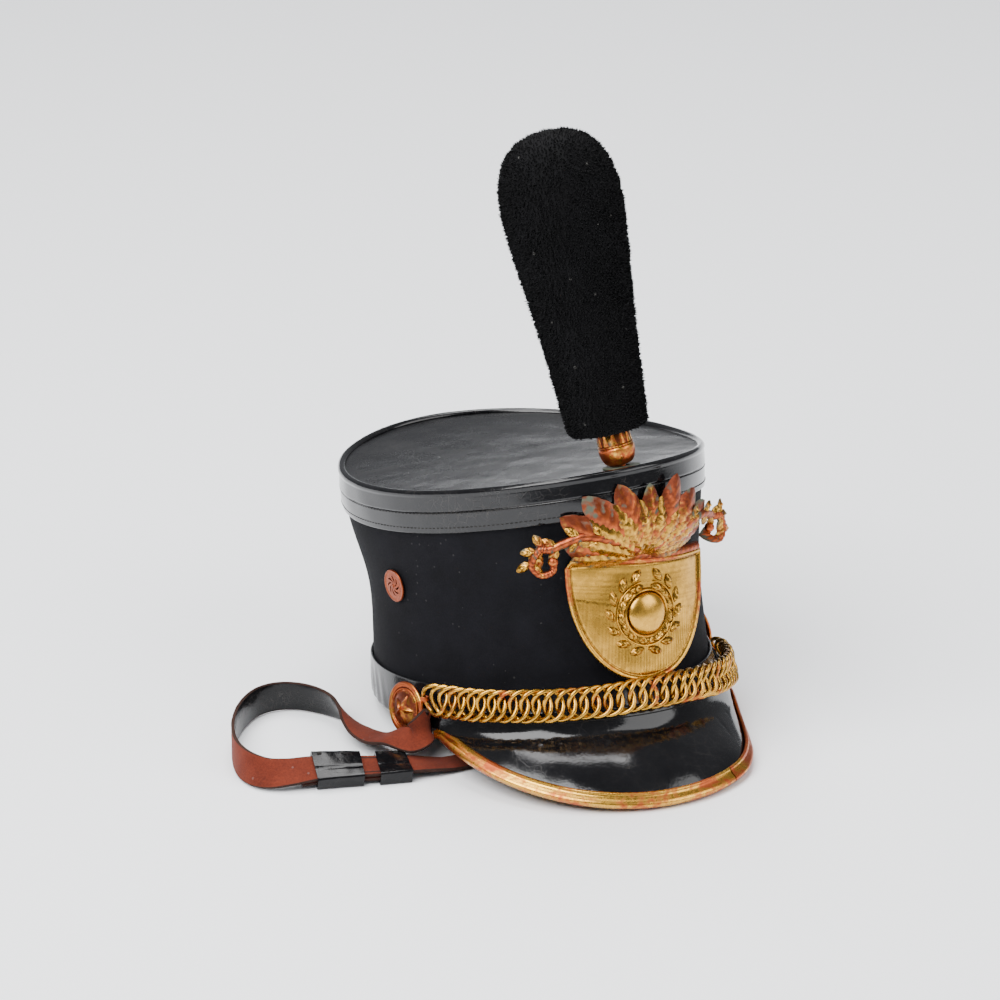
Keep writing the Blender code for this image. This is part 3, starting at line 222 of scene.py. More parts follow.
LAMP_COLUMNS = ("name", "azimuth", "elevation", "distance", "size", "watts")
LAMPS = (
    ("key_lamp", -70.0, 52.0, 2.2, 1.6, 95.0),
    ("fill_lamp", 40.0, 35.0, 2.6, 1.8, 40.0),
    ("top_lamp", 160.0, 70.0, 2.4, 1.4, 60.0),
)
for row in LAMPS:
    lamp_row = dict(zip(LAMP_COLUMNS, row))
    lamp_data = bpy.data.lights.new(lamp_row["name"], "AREA")
    lamp_data.size = lamp_row["size"]
    lamp_data.energy = lamp_row["watts"]
    azimuth, elevation = (math.radians(lamp_row[key]) for key in ("azimuth", "elevation"))
    place = Vector((
        math.sin(azimuth) * math.cos(elevation),
        -math.cos(azimuth) * math.cos(elevation),
        math.sin(elevation),
    ))
    lamp = bpy.data.objects.new(lamp_row["name"], lamp_data)
    lamp.location = place * lamp_row["distance"]
    lamp.rotation_euler = place.to_track_quat("Z", "Y").to_euler()
    bpy.context.scene.collection.objects.link(lamp)
print(len(LAMPS), "soft lamps over a pale floor")

# %% [markdown]
# ## Helpers for the maker
#
# Leather, cloth and wire are flat or straight before they are worked. So most pieces here start as
# a flat grid, which is then wrapped: each corner moves to its place on the hat, seams are merged,
# and the faces are turned outwards. The grid's UV map keeps the flat size in metres, for patterns
# that follow the piece.

# %% grids, lathes and finishing
MERGE = 1e-5
LEVEL = Matrix.Identity(4)


def clear_selection():
    if bpy.context.object and bpy.context.object.mode != "OBJECT":
        bpy.ops.object.mode_set(mode="OBJECT")
    bpy.ops.object.select_all(action="DESELECT")


def choose(piece):
    clear_selection()
    piece.select_set(True)
    bpy.context.view_layer.objects.active = piece


def close_and_face_out(piece):
    """Merges corners that lie together, then turns all faces outwards."""
    choose(piece)
    bpy.ops.object.mode_set(mode="EDIT")
    bpy.ops.mesh.select_all(action="SELECT")
    bpy.ops.mesh.remove_doubles(threshold=MERGE)
    bpy.ops.mesh.normals_make_consistent(inside=False)
    bpy.ops.object.mode_set(mode="OBJECT")


def flat_grid(name, columns, rows):
    """A flat grid, 1 by 1, with its lower left corner at 0, 0."""
    clear_selection()
    bpy.ops.mesh.primitive_grid_add(
        x_subdivisions=columns, y_subdivisions=rows, size=1.0, location=(0.5, 0.5, 0.0))
    piece = bpy.context.active_object
    piece.name = piece.data.name = name
    bpy.ops.object.transform_apply(location=True, rotation=True, scale=True)
    return piece


def keep_relief(piece, values):
    """Stores a value for each corner, from 0 in hollows to 1 on ridges: the brass finish paints shade and
    more green patina where it is low.
    """
    layer = piece.data.attributes.new("relief", "FLOAT", "POINT")
    layer.data.foreach_set("value", values)


def apply_modifier(piece, kind, **settings):
    """Adds a modifier, sets it and applies it."""
    choose(piece)
    step = piece.modifiers.new(kind.lower(), kind)
    for key, value in settings.items():
        setattr(step, key, value)
    bpy.ops.object.modifier_apply(modifier=step.name)


def cut_away(piece, cutter):
    """Cuts one piece out of another and removes the cutter."""
    apply_modifier(piece, "BOOLEAN", object=cutter, operation="DIFFERENCE", solver="EXACT")
    bpy.data.objects.remove(cutter, do_unlink=True)


def wrap(piece, place, length=1.0, height=1.0, matrix=HAT, relief=None):
    """Moves each corner of a flat grid to place(u, v) and closes the seams."""
    if relief:
        keep_relief(piece, [relief(vertex.co.x, vertex.co.y) for vertex in piece.data.vertices])
    for vertex in piece.data.vertices:
        vertex.co = matrix @ place(vertex.co.x, vertex.co.y)
    for corner in piece.data.uv_layers.active.uv:
        corner.vector = (corner.vector.x * length, corner.vector.y * height)
    close_and_face_out(piece)
    return piece


def wrapped(name, columns, rows, place, length=1.0, height=1.0, matrix=HAT, relief=None):
    return wrap(flat_grid(name, columns, rows), place, length, height, matrix, relief)


def mesh_object(name, points, faces, edges=()):
    mesh = bpy.data.meshes.new(name)
    mesh.from_pydata([tuple(point) for point in points], list(edges), list(faces))
    piece = bpy.data.objects.new(name, mesh)
    bpy.context.scene.collection.objects.link(piece)
    return piece


def lathe(name, outline, sides, matrix):
    """Spins an outline of (radius, height) rows about Z in edit mode."""
    points = [(radius, 0.0, height) for radius, height in outline]
    piece = mesh_object(name, points, (), [(i, i + 1) for i in range(len(points) - 1)])
    choose(piece)
    bpy.ops.object.mode_set(mode="EDIT")
    bpy.ops.mesh.select_all(action="SELECT")
    bpy.ops.mesh.spin(steps=sides, angle=math.tau, center=(0.0, 0.0, 0.0), axis=(0.0, 0.0, 1.0))
    bpy.ops.object.mode_set(mode="OBJECT")
    piece.data.transform(matrix)
    close_and_face_out(piece)
    return piece


def join(name, pieces):
    clear_selection()
    for piece in pieces:
        piece.select_set(True)
    bpy.context.view_layer.objects.active = pieces[0]
    bpy.ops.object.join()
    whole = bpy.context.active_object
    whole.name = whole.data.name = name
    return whole


def copies(piece, matrices):
    """Copies of a piece, each with its own mesh moved by a matrix. The pattern is removed."""
    made = []
    for matrix in matrices:
        twin = bpy.data.objects.new(piece.name, piece.data.copy())
        twin.data.transform(matrix)
        bpy.context.scene.collection.objects.link(twin)
        made.append(twin)
    bpy.data.objects.remove(piece, do_unlink=True)
    return made


def finish(piece, material, nodes=(), smooth=40.0):
    """Shades a piece, gives it its material and ties it to the frame."""
    if material:
        piece.data.materials.clear()
        piece.data.materials.append(material)
    choose(piece)
    bpy.ops.object.shade_smooth_by_angle(angle=math.radians(smooth))
    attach(piece, "root")
    if nodes:
        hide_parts(*nodes)
    clear_selection()
    triangles = sum(len(face.vertices) - 2 for face in piece.data.polygons)
    print(f"{piece.name}: {triangles} triangles")
    return piece


def arc(radius, start, end, steps, centre=(0.0, 0.0)):
    """Points of an arc, angles in degrees."""
    turns = [math.radians(start + (end - start) * i / steps) for i in range(steps + 1)]
    return [(centre[0] + radius * math.cos(t), centre[1] + radius * math.sin(t)) for t in turns]


def between(start, end, steps):
    """Points strictly between two, at even steps."""
    shares = [i / (steps + 1) for i in range(1, steps + 1)]
    return [tuple(a + (b - a) * share for a, b in zip(start, end)) for share in shares]


def ripple(point, size, depth):
    """A gentle unevenness of hand-worked material."""
    return noise.noise(point / size) * depth


# %% [markdown]
# ## Finishes
#
# Each finish is a few node groups put together. A group has named inputs, so that one idea, such
# as tarnish, serves the plate, the chain and the buttons with different values. The groups give
# out colours, roughness and heights, and the shader itself stays in the material.

# %% helpers for nodes
def feed(tree, item, inputs):
    """Sets a node's inputs to values, or links them to sockets."""
    for key, value in dict(inputs).items():
        if isinstance(value, bpy.types.NodeSocket):
            tree.links.new(value, item.inputs[key])
        else:
            item.inputs[key].default_value = value
    return item


def put(tree, kind, inputs=(), **settings):
    """Adds a node with its settings and inputs."""
    item = tree.nodes.new("ShaderNode" + kind)
    for key, value in settings.items():
        setattr(item, key, value)
    return feed(tree, item, inputs)


def maths(tree, operation, first, second):
    return put(tree, "Math", {0: first, 1: second}, operation=operation).outputs[0]


def plus(tree, first, second):
    return maths(tree, "ADD", first, second)


def minus(tree, first, second):
    return maths(tree, "SUBTRACT", first, second)


def times(tree, first, second):
    return maths(tree, "MULTIPLY", first, second)


def cloud(tree, place, scale, detail, seed=None, **more):
    """A soft noise from 0 to 1. A seed gives it a fourth dimension."""
    inputs = {"Vector": place, "Scale": scale, "Detail": detail, **more}
    if seed is None:
        return put(tree, "TexNoise", inputs).outputs
    return put(tree, "TexNoise", {**inputs, "W": seed}, noise_dimensions="4D").outputs


def stretch(tree, value, low, high, start=0.0, end=1.0):
    """Maps low..high to start..end and clips it."""
    return put(tree, "MapRange", {0: value, 1: low, 2: high, 3: start, 4: end}).outputs[0]


def mix(tree, share, first, second):
    item = put(tree, "Mix", {0: share, 6: first, 7: second}, data_type="RGBA")
    return item.outputs[2]


def group(name, inputs, outputs):
    """An empty node group with named sockets: (name, kind, value) in and (name, kind) out."""
    tree = bpy.data.node_groups.new(name, "ShaderNodeTree")
    for label, kind, value in inputs:
        socket = tree.interface.new_socket(name=label, in_out="INPUT", socket_type="NodeSocket" + kind)
        if value is not None:
            socket.default_value = value
    for label, kind in outputs:
        tree.interface.new_socket(name=label, in_out="OUTPUT", socket_type="NodeSocket" + kind)
    source = tree.nodes.new("NodeGroupInput")
    target = tree.nodes.new("NodeGroupOutput")
    return tree, source.outputs, target.inputs


def use(tree, name, inputs):
    item = tree.nodes.new("ShaderNodeGroup")
    item.node_tree = bpy.data.node_groups[name]
    return feed(tree, item, inputs).outputs


def new_material(name, **sockets):
    """A material with its shader's constant sockets set."""
    made = bpy.data.materials.new(name)
    made.use_nodes = True
    shader = made.node_tree.nodes["Principled BSDF"]
    for key, value in sockets.items():
        shader.inputs[key.replace("_", " ")].default_value = value
    place = put(made.node_tree, "TexCoord")
    return made, made.node_tree, shader, place.outputs


def connect(tree, shader, colour=None, roughness=None, metallic=None, height=None, depth=0.0002):
    """Feeds a shader. The height, from 0 to 1, is as deep as depth in metres."""
    for key, value in (("Base Color", colour), ("Roughness", roughness), ("Metallic", metallic)):
        if value is not None:
            tree.links.new(value, shader.inputs[key])
    if height is not None:
        bump = put(tree, "Bump", {"Height": height, "Distance": depth, "Strength": 1.0})
        tree.links.new(bump.outputs["Normal"], shader.inputs["Normal"])


# %% [markdown]
# ### Tarnish and painted shade
#
# Old gilt brass wears in three ways. High places rub bright and yellow, the gilding fails in
# patches to a red copper brown, and a grey-green bloom sits in the hollows. Three noises at
# different scales choose between the colours. A "relief" value from the mesh adds painted shade
# in the hollows and leaves the ridges bright. It is known when the relief is modelled.

# %% tarnish and painted shade group
BRASS_BRIGHT = (0.62, 0.335, 0.050, 1.0)
BRASS_DULL_AND_SHADE = (0.25, 0.125, 0.020, 1.0)
COPPER = (0.47, 0.105, 0.032, 1.0)
COPPER_DULL_AND_SHADE = (0.17, 0.040, 0.020, 1.0)
GREEN = (0.070, 0.080, 0.052, 1.0)

tree, given, out = group(
    "tarnish_and_shade",
    [("Place", "Vector", None), ("Scale", "Float", 90.0), ("Copper", "Float", 0.4), ("Green", "Float", 0.1),
     ("Relief", "Float", 1.0), ("Seed", "Float", 0.0)],
    [("Colour", "Color"), ("Roughness", "Float"), ("Metallic", "Float"), ("Height", "Float")],
)
place, scale, seed = given["Place"], given["Scale"], given["Seed"]
patch = cloud(tree, place, scale, 5.0, seed, Roughness=0.62)["Fac"]
fine = cloud(tree, place, times(tree, scale, 9.0), 4.0, seed)["Fac"]
blot = cloud(tree, place, times(tree, scale, 2.6), 6.0, plus(tree, seed, 4.0))["Fac"]
hollow = minus(tree, 1.0, given["Relief"])
worn = plus(tree, patch, times(tree, minus(tree, fine, 0.5), 0.35))
copper_edge = minus(tree, 0.82, times(tree, given["Copper"], 0.62))
copper_share = stretch(tree, minus(tree, worn, copper_edge), -0.05, 0.07)
green_level = plus(tree, blot, times(tree, hollow, 0.30))
green_edge = minus(tree, 1.02, times(tree, given["Green"], 0.6))
green_share = stretch(tree, minus(tree, green_level, green_edge), -0.06, 0.06)
# Painted shade: the lower the relief, the more of the darker brass and copper is mixed in, on top of the fine
# noise's dull patches.
dull_and_shade_share = stretch(tree, plus(tree, times(tree, fine, 0.7), times(tree, hollow, 0.75)), 0.32, 0.95)
colour = mix(tree, dull_and_shade_share, BRASS_BRIGHT, BRASS_DULL_AND_SHADE)
colour = mix(tree, copper_share, colour, mix(tree, dull_and_shade_share, COPPER, COPPER_DULL_AND_SHADE))
tree.links.new(mix(tree, green_share, colour, GREEN), out["Colour"])
rough = plus(tree, stretch(tree, fine, 0.3, 0.7, 0.20, 0.34), times(tree, copper_share, 0.12))
tree.links.new(plus(tree, rough, times(tree, green_share, 0.32)), out["Roughness"])
tree.links.new(minus(tree, 1.0, times(tree, green_share, 0.75)), out["Metallic"])
tree.links.new(plus(tree, fine, times(tree, blot, 0.6)), out["Height"])

# %% [markdown]
# ### Patent leather
#
# Patent leather is a hard, shiny lacquer on leather. With age it crazes: fine cracks run over it,
# it takes dust and handling marks, and its gloss becomes uneven. A Voronoi pattern's edges make
# the cracks, and broad noise makes the haze.

# %% lacquer group
LACQUER_BLACK = (0.0030, 0.0030, 0.0036, 1.0)
LACQUER_DUSTY = (0.020, 0.020, 0.022, 1.0)
LACQUER_CRACK = (0.075, 0.066, 0.058, 1.0)

tree, given, out = group(
    "old_lacquer",
    [("Place", "Vector", None), ("Scale", "Float", 60.0), ("Cracks", "Float", 0.3), ("Haze", "Float", 0.3),
     ("Seed", "Float", 0.0)],
    [("Colour", "Color"), ("Roughness", "Float"), ("Height", "Float")],
)
place, scale = given["Place"], given["Scale"]
haze = cloud(tree, place, scale, 6.0, given["Seed"], Roughness=0.6)["Fac"]
bend = cloud(tree, place, times(tree, scale, 4.0), 2.0)["Color"]
bend = put(tree, "VectorMath", {0: bend, 3: 0.004}, operation="SCALE").outputs[0]
moved = put(tree, "VectorMath", {0: place, 1: bend}, operation="ADD").outputs[0]
fine = {"Vector": moved, "Scale": times(tree, scale, 5.0)}
cells = put(tree, "TexVoronoi", fine, feature="DISTANCE_TO_EDGE")
grain = cloud(tree, place, times(tree, scale, 22.0), 3.0)["Fac"]
crack = minus(tree, 1.0, stretch(tree, cells.outputs["Distance"], 0.0, 0.035))
crack = times(tree, times(tree, crack, stretch(tree, haze, 0.42, 0.62)), given["Cracks"])
dust = times(tree, stretch(tree, haze, 0.40, 0.78), given["Haze"])
colour = mix(tree, dust, LACQUER_BLACK, LACQUER_DUSTY)
tree.links.new(mix(tree, crack, colour, LACQUER_CRACK), out["Colour"])
rough = plus(tree, stretch(tree, grain, 0.3, 0.7, 0.0, 0.07), times(tree, dust, 0.34))
tree.links.new(plus(tree, rough, times(tree, crack, 0.3)), out["Roughness"])
height = plus(tree, times(tree, grain, 0.5), haze)
tree.links.new(minus(tree, height, times(tree, crack, 0.8)), out["Height"])

# %% [markdown]
# ### Nap, suede and thread
#
# Cloth, suede and pile are all short fibres. One group makes them: stretched fine noise for the
# fibres, slower noise for how they lie, and a few bright specks of lint.

# %% fibre group
LINT_PALE = (0.30, 0.29, 0.27, 1.0)

tree, given, out = group(
    "fibres",
    [("Place", "Vector", None), ("Scale", "Float", 900.0), ("Dark", "Color", (0.01, 0.01, 0.01, 1.0)),
     ("Light", "Color", (0.03, 0.03, 0.035, 1.0)), ("Lint", "Float", 0.5), ("Seed", "Float", 0.0)],
    [("Colour", "Color"), ("Roughness", "Float"), ("Height", "Float")],
)
place, scale, seed = given["Place"], given["Scale"], given["Seed"]
fibre = cloud(tree, place, scale, 4.0, seed, Roughness=0.7)["Fac"]
lie = cloud(tree, place, times(tree, scale, 0.06), 4.0, seed)["Fac"]
speck = put(tree, "TexVoronoi", {"Vector": place, "Scale": times(tree, scale, 0.55)}, feature="F1").outputs
chosen = put(tree, "SeparateColor", {0: speck["Color"]}).outputs[0]
small = maths(tree, "LESS_THAN", speck["Distance"], 0.33)
lint = times(tree, maths(tree, "GREATER_THAN", chosen, 0.985), small)
share = plus(tree, times(tree, fibre, 0.6), times(tree, lie, 0.55))
colour = mix(tree, stretch(tree, share, 0.38, 0.78), given["Dark"], given["Light"])
tree.links.new(mix(tree, times(tree, lint, given["Lint"]), colour, LINT_PALE), out["Colour"])
tree.links.new(stretch(tree, fibre, 0.3, 0.7, 0.78, 0.98), out["Roughness"])
tree.links.new(plus(tree, fibre, times(tree, lie, 0.5)), out["Height"])
print("groups:", ", ".join(sorted(item.name for item in bpy.data.node_groups)))


# %% materials from the groups
def lacquer(name, scale, cracks, haze, rough, seed, depth, gleam=0.40):
    """Patent leather with its own amount of crazing, haze and gloss."""
    made, tree, shader, place = new_material(name, Specular_IOR_Level=gleam)
    worn = use(tree, "old_lacquer", {
        "Place": place["Object"], "Scale": scale, "Cracks": cracks, "Haze": haze, "Seed": seed})
    connect(tree, shader, worn["Colour"], plus(tree, worn["Roughness"], rough), None, worn["Height"], depth)
    return made


def brasswork(name, scale, copper, green, seed, depth=0.00002, relief=1.0):
    """Old brass, with painted shade where the relief is low. Without a number for relief, the mesh's own
    attribute is read.
    """
    made, tree, shader, place = new_material(name)
    if relief is None:
        relief = put(tree, "Attribute", attribute_name="relief").outputs["Fac"]
    inputs = {
        "Place": place["Object"], "Scale": scale, "Copper": copper, "Green": green,
        "Seed": seed, "Relief": relief}
    metal = use(tree, "tarnish_and_shade", inputs)
    connect(tree, shader, metal["Colour"], metal["Roughness"], metal["Metallic"], metal["Height"], depth)
    return made


def fibrous(name, scale, dark, light, lint, seed, depth, sheen=0.0):
    """Cloth, suede, pile or thread."""
    made, tree, shader, place = new_material(
        name, Specular_IOR_Level=0.15, Sheen_Weight=sheen, Sheen_Roughness=0.6)
    nap = use(tree, "fibres", {
        "Place": place["Object"], "Scale": scale, "Dark": (*dark, 1.0), "Light": (*light, 1.0),
        "Lint": lint, "Seed": seed})
    connect(tree, shader, nap["Colour"], nap["Roughness"], None, nap["Height"], depth)
    return made


BLACK, SOOT = (0.0012, 0.0012, 0.0020), (0.0050, 0.0050, 0.0074)
RED_DARK, RED_LIGHT = (0.060, 0.0085, 0.0035), (0.175, 0.030, 0.013)
wool_cloth = fibrous("wool_cloth", 1100.0, BLACK, SOOT, 0.06, 1.0, 0.00012)
suede = fibrous("suede", 900.0, RED_DARK, RED_LIGHT, 0.12, 2.0, 0.00014, 0.03)
pile = fibrous("wool_pile", 700.0, (0.0008, 0.0008, 0.0009), (0.0045, 0.0045, 0.0052), 0.2, 3.0, 0.0001)
cut_edge = fibrous("cut_edge", 600.0, (0.012, 0.006, 0.005), (0.05, 0.024, 0.018), 0.0, 5.0, 0.00006)
thread = fibrous("black_thread", 1500.0, (0.006, 0.006, 0.006), (0.03, 0.028, 0.026), 0.0, 4.0, 0.00003)
crown_patent = lacquer("crown_patent", 38.0, 0.25, 0.55, 0.20, 2.0, 0.00016)
band_patent = lacquer("band_patent", 46.0, 0.30, 0.22, 0.05, 3.0, 0.00008)
base_patent = lacquer("base_patent", 50.0, 0.15, 0.30, 0.12, 4.0, 0.00010)
visor_patent = lacquer("visor_patent", 34.0, 0.14, 0.26, 0.05, 5.0, 0.00008)
strap_patent = lacquer("strap_patent", 80.0, 0.60, 0.14, 0.02, 6.0, 0.00006, 0.25)
keeper_patent = lacquer("keeper_patent", 80.0, 0.30, 0.14, 0.02, 6.5, 0.00008, 0.25)
chain_brass = brasswork("chain_brass", 70.0, 0.36, 0.06, 1.0, 0.00001, 0.80)
binding_brass = brasswork("binding_brass", 42.0, 0.49, 0.04, 2.0, 0.00001)
binding_red_brass = brasswork("binding_red_brass", 42.0, 0.80, 0.05, 11.0)
button_brass = brasswork("button_brass", 60.0, 0.62, 0.06, 3.0, 0.00005, None)
hook_copper = brasswork("hook_copper", 110.0, 0.85, 0.55, 4.0, 0.00005)
vent_copper = brasswork("vent_copper", 110.0, 0.95, 0.05, 5.0, 0.00005, 0.40)
socket_brass = brasswork("socket_brass", 60.0, 0.66, 0.22, 6.0, relief=None)
crest_brass = brasswork("crest_brass", 55.0, 0.72, 0.40, 7.0, relief=None)
leaf_brass = brasswork("leaf_brass", 60.0, 0.40, 0.30, 12.0, relief=None)
shield_brass = brasswork("shield_brass", 34.0, 0.14, 0.02, 8.0, 0.00001, None)
rim_brass = brasswork("rim_brass", 50.0, 0.48, 0.05, 13.0, relief=None)
dull_tin = brasswork("dull_tin", 90.0, 0.0, 1.6, 9.0, 0.00005, 0.5)
print(len(bpy.data.materials), "materials")

# %% [markdown]
# ## The wool body
#
# The body is stiff felt, about 2.4 mm thick, covered with black wool. It is one closed tube: the
# grid's long side goes round the hat, and its short side goes up outside and down inside. A slow
# ripple of a quarter of a millimetre keeps it from looking turned on a lathe.

# %% wool shell
SHELL_HIGH = 0.1212
SHELL_LOW = 0.0012
OUTER_SHARE = 0.6


def shell_point(u, v):
    angle = math.tau * u
    outside = v < OUTER_SHARE
    share = v / OUTER_SHARE if outside else 1.0 - (v - OUTER_SHARE) / (1.0 - OUTER_SHARE)
    height = round(SHELL_LOW + (SHELL_HIGH - SHELL_LOW) * share, 6)
    tuck = 0.0010 * max(0.0, (height - CROWN_LOW) / (SHELL_HIGH - CROWN_LOW))
    offset = -tuck if outside else -FELT - tuck
    place = wall_point(angle, height, offset)
    swell = ripple(place, 0.034, 0.00028) * min(1.0, share * 4.0) * min(1.0, (1.0 - share) * 6.0)
    return wall_point(angle, height, offset + swell)


wool_shell = wrapped("wool_shell", 216, 100, shell_point, 0.56, 0.26)
# The grid ends where it began in both directions, but its last row lies on the inner rim.
choose(wool_shell)
bpy.ops.object.mode_set(mode="EDIT")
bpy.ops.mesh.select_all(action="SELECT")
bpy.ops.mesh.region_to_loop()
bpy.ops.mesh.bridge_edge_loops()
bpy.ops.mesh.select_all(action="SELECT")
bpy.ops.mesh.normals_make_consistent(inside=False)
bpy.ops.object.mode_set(mode="OBJECT")

VENT_ANGLE = math.radians(86)
VENT_HEIGHT = 0.0715
VENT_RADIUS = 0.0087
VENT_HOLE = 0.0062


def cut_hole(piece, radius, depth, matrix):
    """Cuts a round hole with a cylinder that is removed afterwards."""
    clear_selection()
    bpy.ops.mesh.primitive_cylinder_add(vertices=32, radius=radius, depth=depth)
    cutter = bpy.context.active_object
    cutter.data.transform(matrix)
    cut_away(piece, cutter)


for side in (-1, 1):
    cut_hole(wool_shell, VENT_HOLE, 0.012, HAT @ wall_frame(side * VENT_ANGLE, VENT_HEIGHT))
finish(wool_shell, wool_cloth, ("wool_body",), 50.0)

# %% [markdown]
# ## The base band
#
# A strip of patent leather binds the rim. Its edges are rounded, and at the back it has five
# shallow creases, where it has been bent in by hands that lift the hat off.

# %% base band
BASE_HIGH = 0.0215
CREASE_ANGLE = math.radians(-112)
CREASE_PITCH = math.radians(6.2)
CREASE_COUNT = 5


def edge_profile(low, high, inner, outer, radius, steps):
    """A closed outline of (offset, height) with rounded corners, up the outside first."""
    points = arc(radius, -90, 0, 4, (outer - radius, low + radius))
    points += between((outer, low + radius), (outer, high - radius), steps)
    points += arc(radius, 0, 90, 4, (outer - radius, high - radius))
    points += arc(radius, 90, 180, 3, (inner + radius, high - radius))
    points += between((inner, high - radius), (inner, low + radius), 6)
    points += arc(radius, 180, 270, 3, (inner + radius, low + radius))
    return points + points[:1]


def crease_depth(angle):
    """How far the band's creases move it, from -1 in a fold to 1 between them."""
    away = (angle - CREASE_ANGLE) / CREASE_PITCH
    if abs(away) > CREASE_COUNT / 2.0 + 0.5:
        return 0.0
    fade = math.cos(away / (CREASE_COUNT / 2.0 + 0.5) * math.pi / 2.0)
    return math.cos(away * math.tau) * fade


base_outline = edge_profile(0.0, BASE_HIGH, GAP, GAP + LEATHER, 0.0007, 18)


def base_point(u, v):
    angle = math.tau * u - math.pi
    offset, height = base_outline[round(v * (len(base_outline) - 1))]
    share = height / BASE_HIGH
    slim = 0.0006 * share * (offset - GAP) / LEATHER
    fold = crease_depth(angle + 0.05 * (share - 0.5)) * math.sin(math.pi * min(1.0, share * 0.9 + 0.15))
    place = wall_point(angle, round(height, 6), offset - slim)
    swell = ripple(place, 0.020, 0.00022) * math.sin(math.pi * share) + 0.00038 * fold
    outside = 1.0 if offset > LEATHER / 2.0 else 0.3
    return wall_point(angle, round(height, 6), offset - slim + swell * outside)


base_band = wrapped("base_band_leather", 320, len(base_outline) - 1, base_point, 0.58, 0.046)
finish(base_band, base_patent, ("base_band",))

# %% [markdown]
# ## The crown band and the crown
#
# The band's top is rolled over a cord, so it ends in a soft round edge. Below it the leather is
# folded double, which leaves a step with a row of stitches under it, and a second row nearer the
# bottom. The crown's leather is a flat sheet, dished a little and never quite smooth. A square
# grid bent to an oval has no pole in the middle, which would show in the gloss.

# %% crown band
BAND_OUT = GAP + PATENT
STEP_HEIGHT = 0.1140
STEP_DEPTH = 0.0005

low_corner = arc(0.0005, -90, 0, 3, (BAND_OUT - 0.0005, CROWN_LOW + 0.0005))
band_outline = [(offset, height, 0.0) for offset, height in low_corner]
band_outline += between(
    (BAND_OUT, CROWN_LOW + 0.0005, 0.0), (BAND_OUT + 0.0001, STEP_HEIGHT - 0.0004, 0.0), 14)
band_outline += [(BAND_OUT + 0.0001, STEP_HEIGHT - 0.0003, 0.0), (BAND_OUT - 0.0001, STEP_HEIGHT, 0.0),
                 (BAND_OUT + STEP_DEPTH * 0.6, STEP_HEIGHT + 0.0003, 0.0),
                 (BAND_OUT + STEP_DEPTH, STEP_HEIGHT + 0.0008, 0.0)]
band_outline += between(
    (BAND_OUT + STEP_DEPTH, STEP_HEIGHT + 0.0008, 0.0), (BAND_OUT + 0.0003, CROWN_HIGH - 0.0024, 0.0), 12)
band_outline += [(BAND_OUT + 0.0003, CROWN_HIGH - 0.0024, 0.0), (BAND_OUT + 0.0002, CROWN_HIGH - 0.0019, 0.0)]
band_outline += [(0.00032 + x, CROWN_HIGH, y - 0.0005) for x, y in arc(CROWN_ROLL, -22, 168, 16)]
band_outline += [(GAP, CROWN_HIGH, -0.0009)]
band_outline += between((GAP, CROWN_HIGH, -0.0009), (GAP, CROWN_LOW + 0.0003, 0.0), 8)
band_outline += [(GAP + 0.0003, CROWN_LOW, 0.0)]
band_outline += band_outline[:1]


def band_point(u, v):
    angle = math.tau * u - math.pi
    offset, height, rise = band_outline[round(v * (len(band_outline) - 1))]
    height = round(height, 6)
    place = wall_point(angle, height, offset)
    share = (height - CROWN_LOW) / (CROWN_HIGH - CROWN_LOW)
    if offset > GAP + 0.0004:
        offset += ripple(place, 0.016, 0.00022) * min(1.0, share * 5.0)
        rise += ripple(place + Vector((0.0, 0.0, 0.3)), 0.022, 0.00020) * max(0.0, share * 2.0 - 1.0)
    return wall_point(angle, height, offset) + Vector((0.0, 0.0, rise))


crown_band = wrapped("crown_band_leather", 360, len(band_outline) - 1, band_point, 0.63, 0.048)
finish(crown_band, band_patent, ("crown_band",), 60.0)


# %% crown leather
def crown_surface(x, y):
    """Height of the crown's leather over a place inside the crown's oval."""
    crown = body_section(CROWN_HIGH)
    sideways = x / crown["half_width"]
    forward = (crown["centre_y"] - y) / crown["half_depth"]
    dish = CROWN_DISH * (1.0 - sideways ** 2 - forward ** 2)
    slope = -crown["slope"] * (crown["centre_y"] - y)
    saddle = crown["saddle"] * (forward ** 2 - sideways ** 2)
    return crown["height"] + slope + saddle - 0.0002 - dish


def crown_point(u, v):
    a, b = 2.0 * u - 1.0, 2.0 * v - 1.0
    x, y = a * math.sqrt(1.0 - b * b / 2.0), b * math.sqrt(1.0 - a * a / 2.0)
    reach = min(1.0, math.hypot(x, y))
    place = oval_point(body_section(CROWN_HIGH), math.atan2(x, -y), -0.0009, reach)
    place.z = crown_surface(place.x, place.y)
    wave = ripple(place, 0.030, 0.00045) + ripple(place, 0.011, 0.00016) + ripple(place, 0.0045, 0.00005)
    place.z += wave * min(1.0, (1.0 - reach) * 12.0)
    return place


crown_leather = flat_grid("crown_leather", 200, 200)
wrap(crown_leather, crown_point, 0.17, 0.22)
if crown_leather.data.polygons[len(crown_leather.data.polygons) // 2].normal.z < 0.0:
    crown_leather.data.flip_normals()
apply_modifier(crown_leather, "SOLIDIFY", thickness=PATENT, offset=-1.0)

# %% [markdown]
# ## The pompon's socket
#
# The pompon screws into a brass socket that stands on a dull washer near the crown's front edge
# and leans back. Both are turned, so each is an outline spun about its axis.

# %% socket frame and hole
BACK_LEAN = math.radians(10.4)
WASHER_RADIUS = 0.0097
WASHER_HOLE = 0.0045
WASHER_THICKNESS = 0.0010
SOCKET_RADIUS = 0.0093
SOCKET_TOP = 0.0275
PIN_RADIUS = 0.0026


def leaning_frame(x, inset, side_lean):
    """A matrix on the crown, inset from its front edge. Its Z leans back and to one side."""
    y = oval_point(body_section(CROWN_HIGH), 0.0).y + inset
    axis = Vector((-math.sin(side_lean), math.sin(BACK_LEAN), 1.0)).normalized()
    level = Vector((1.0, 0.0, 0.0))
    level = (level - axis * level.dot(axis)).normalized()
    return frame_at((x, y, crown_surface(x, y)), level, axis.cross(level), axis)


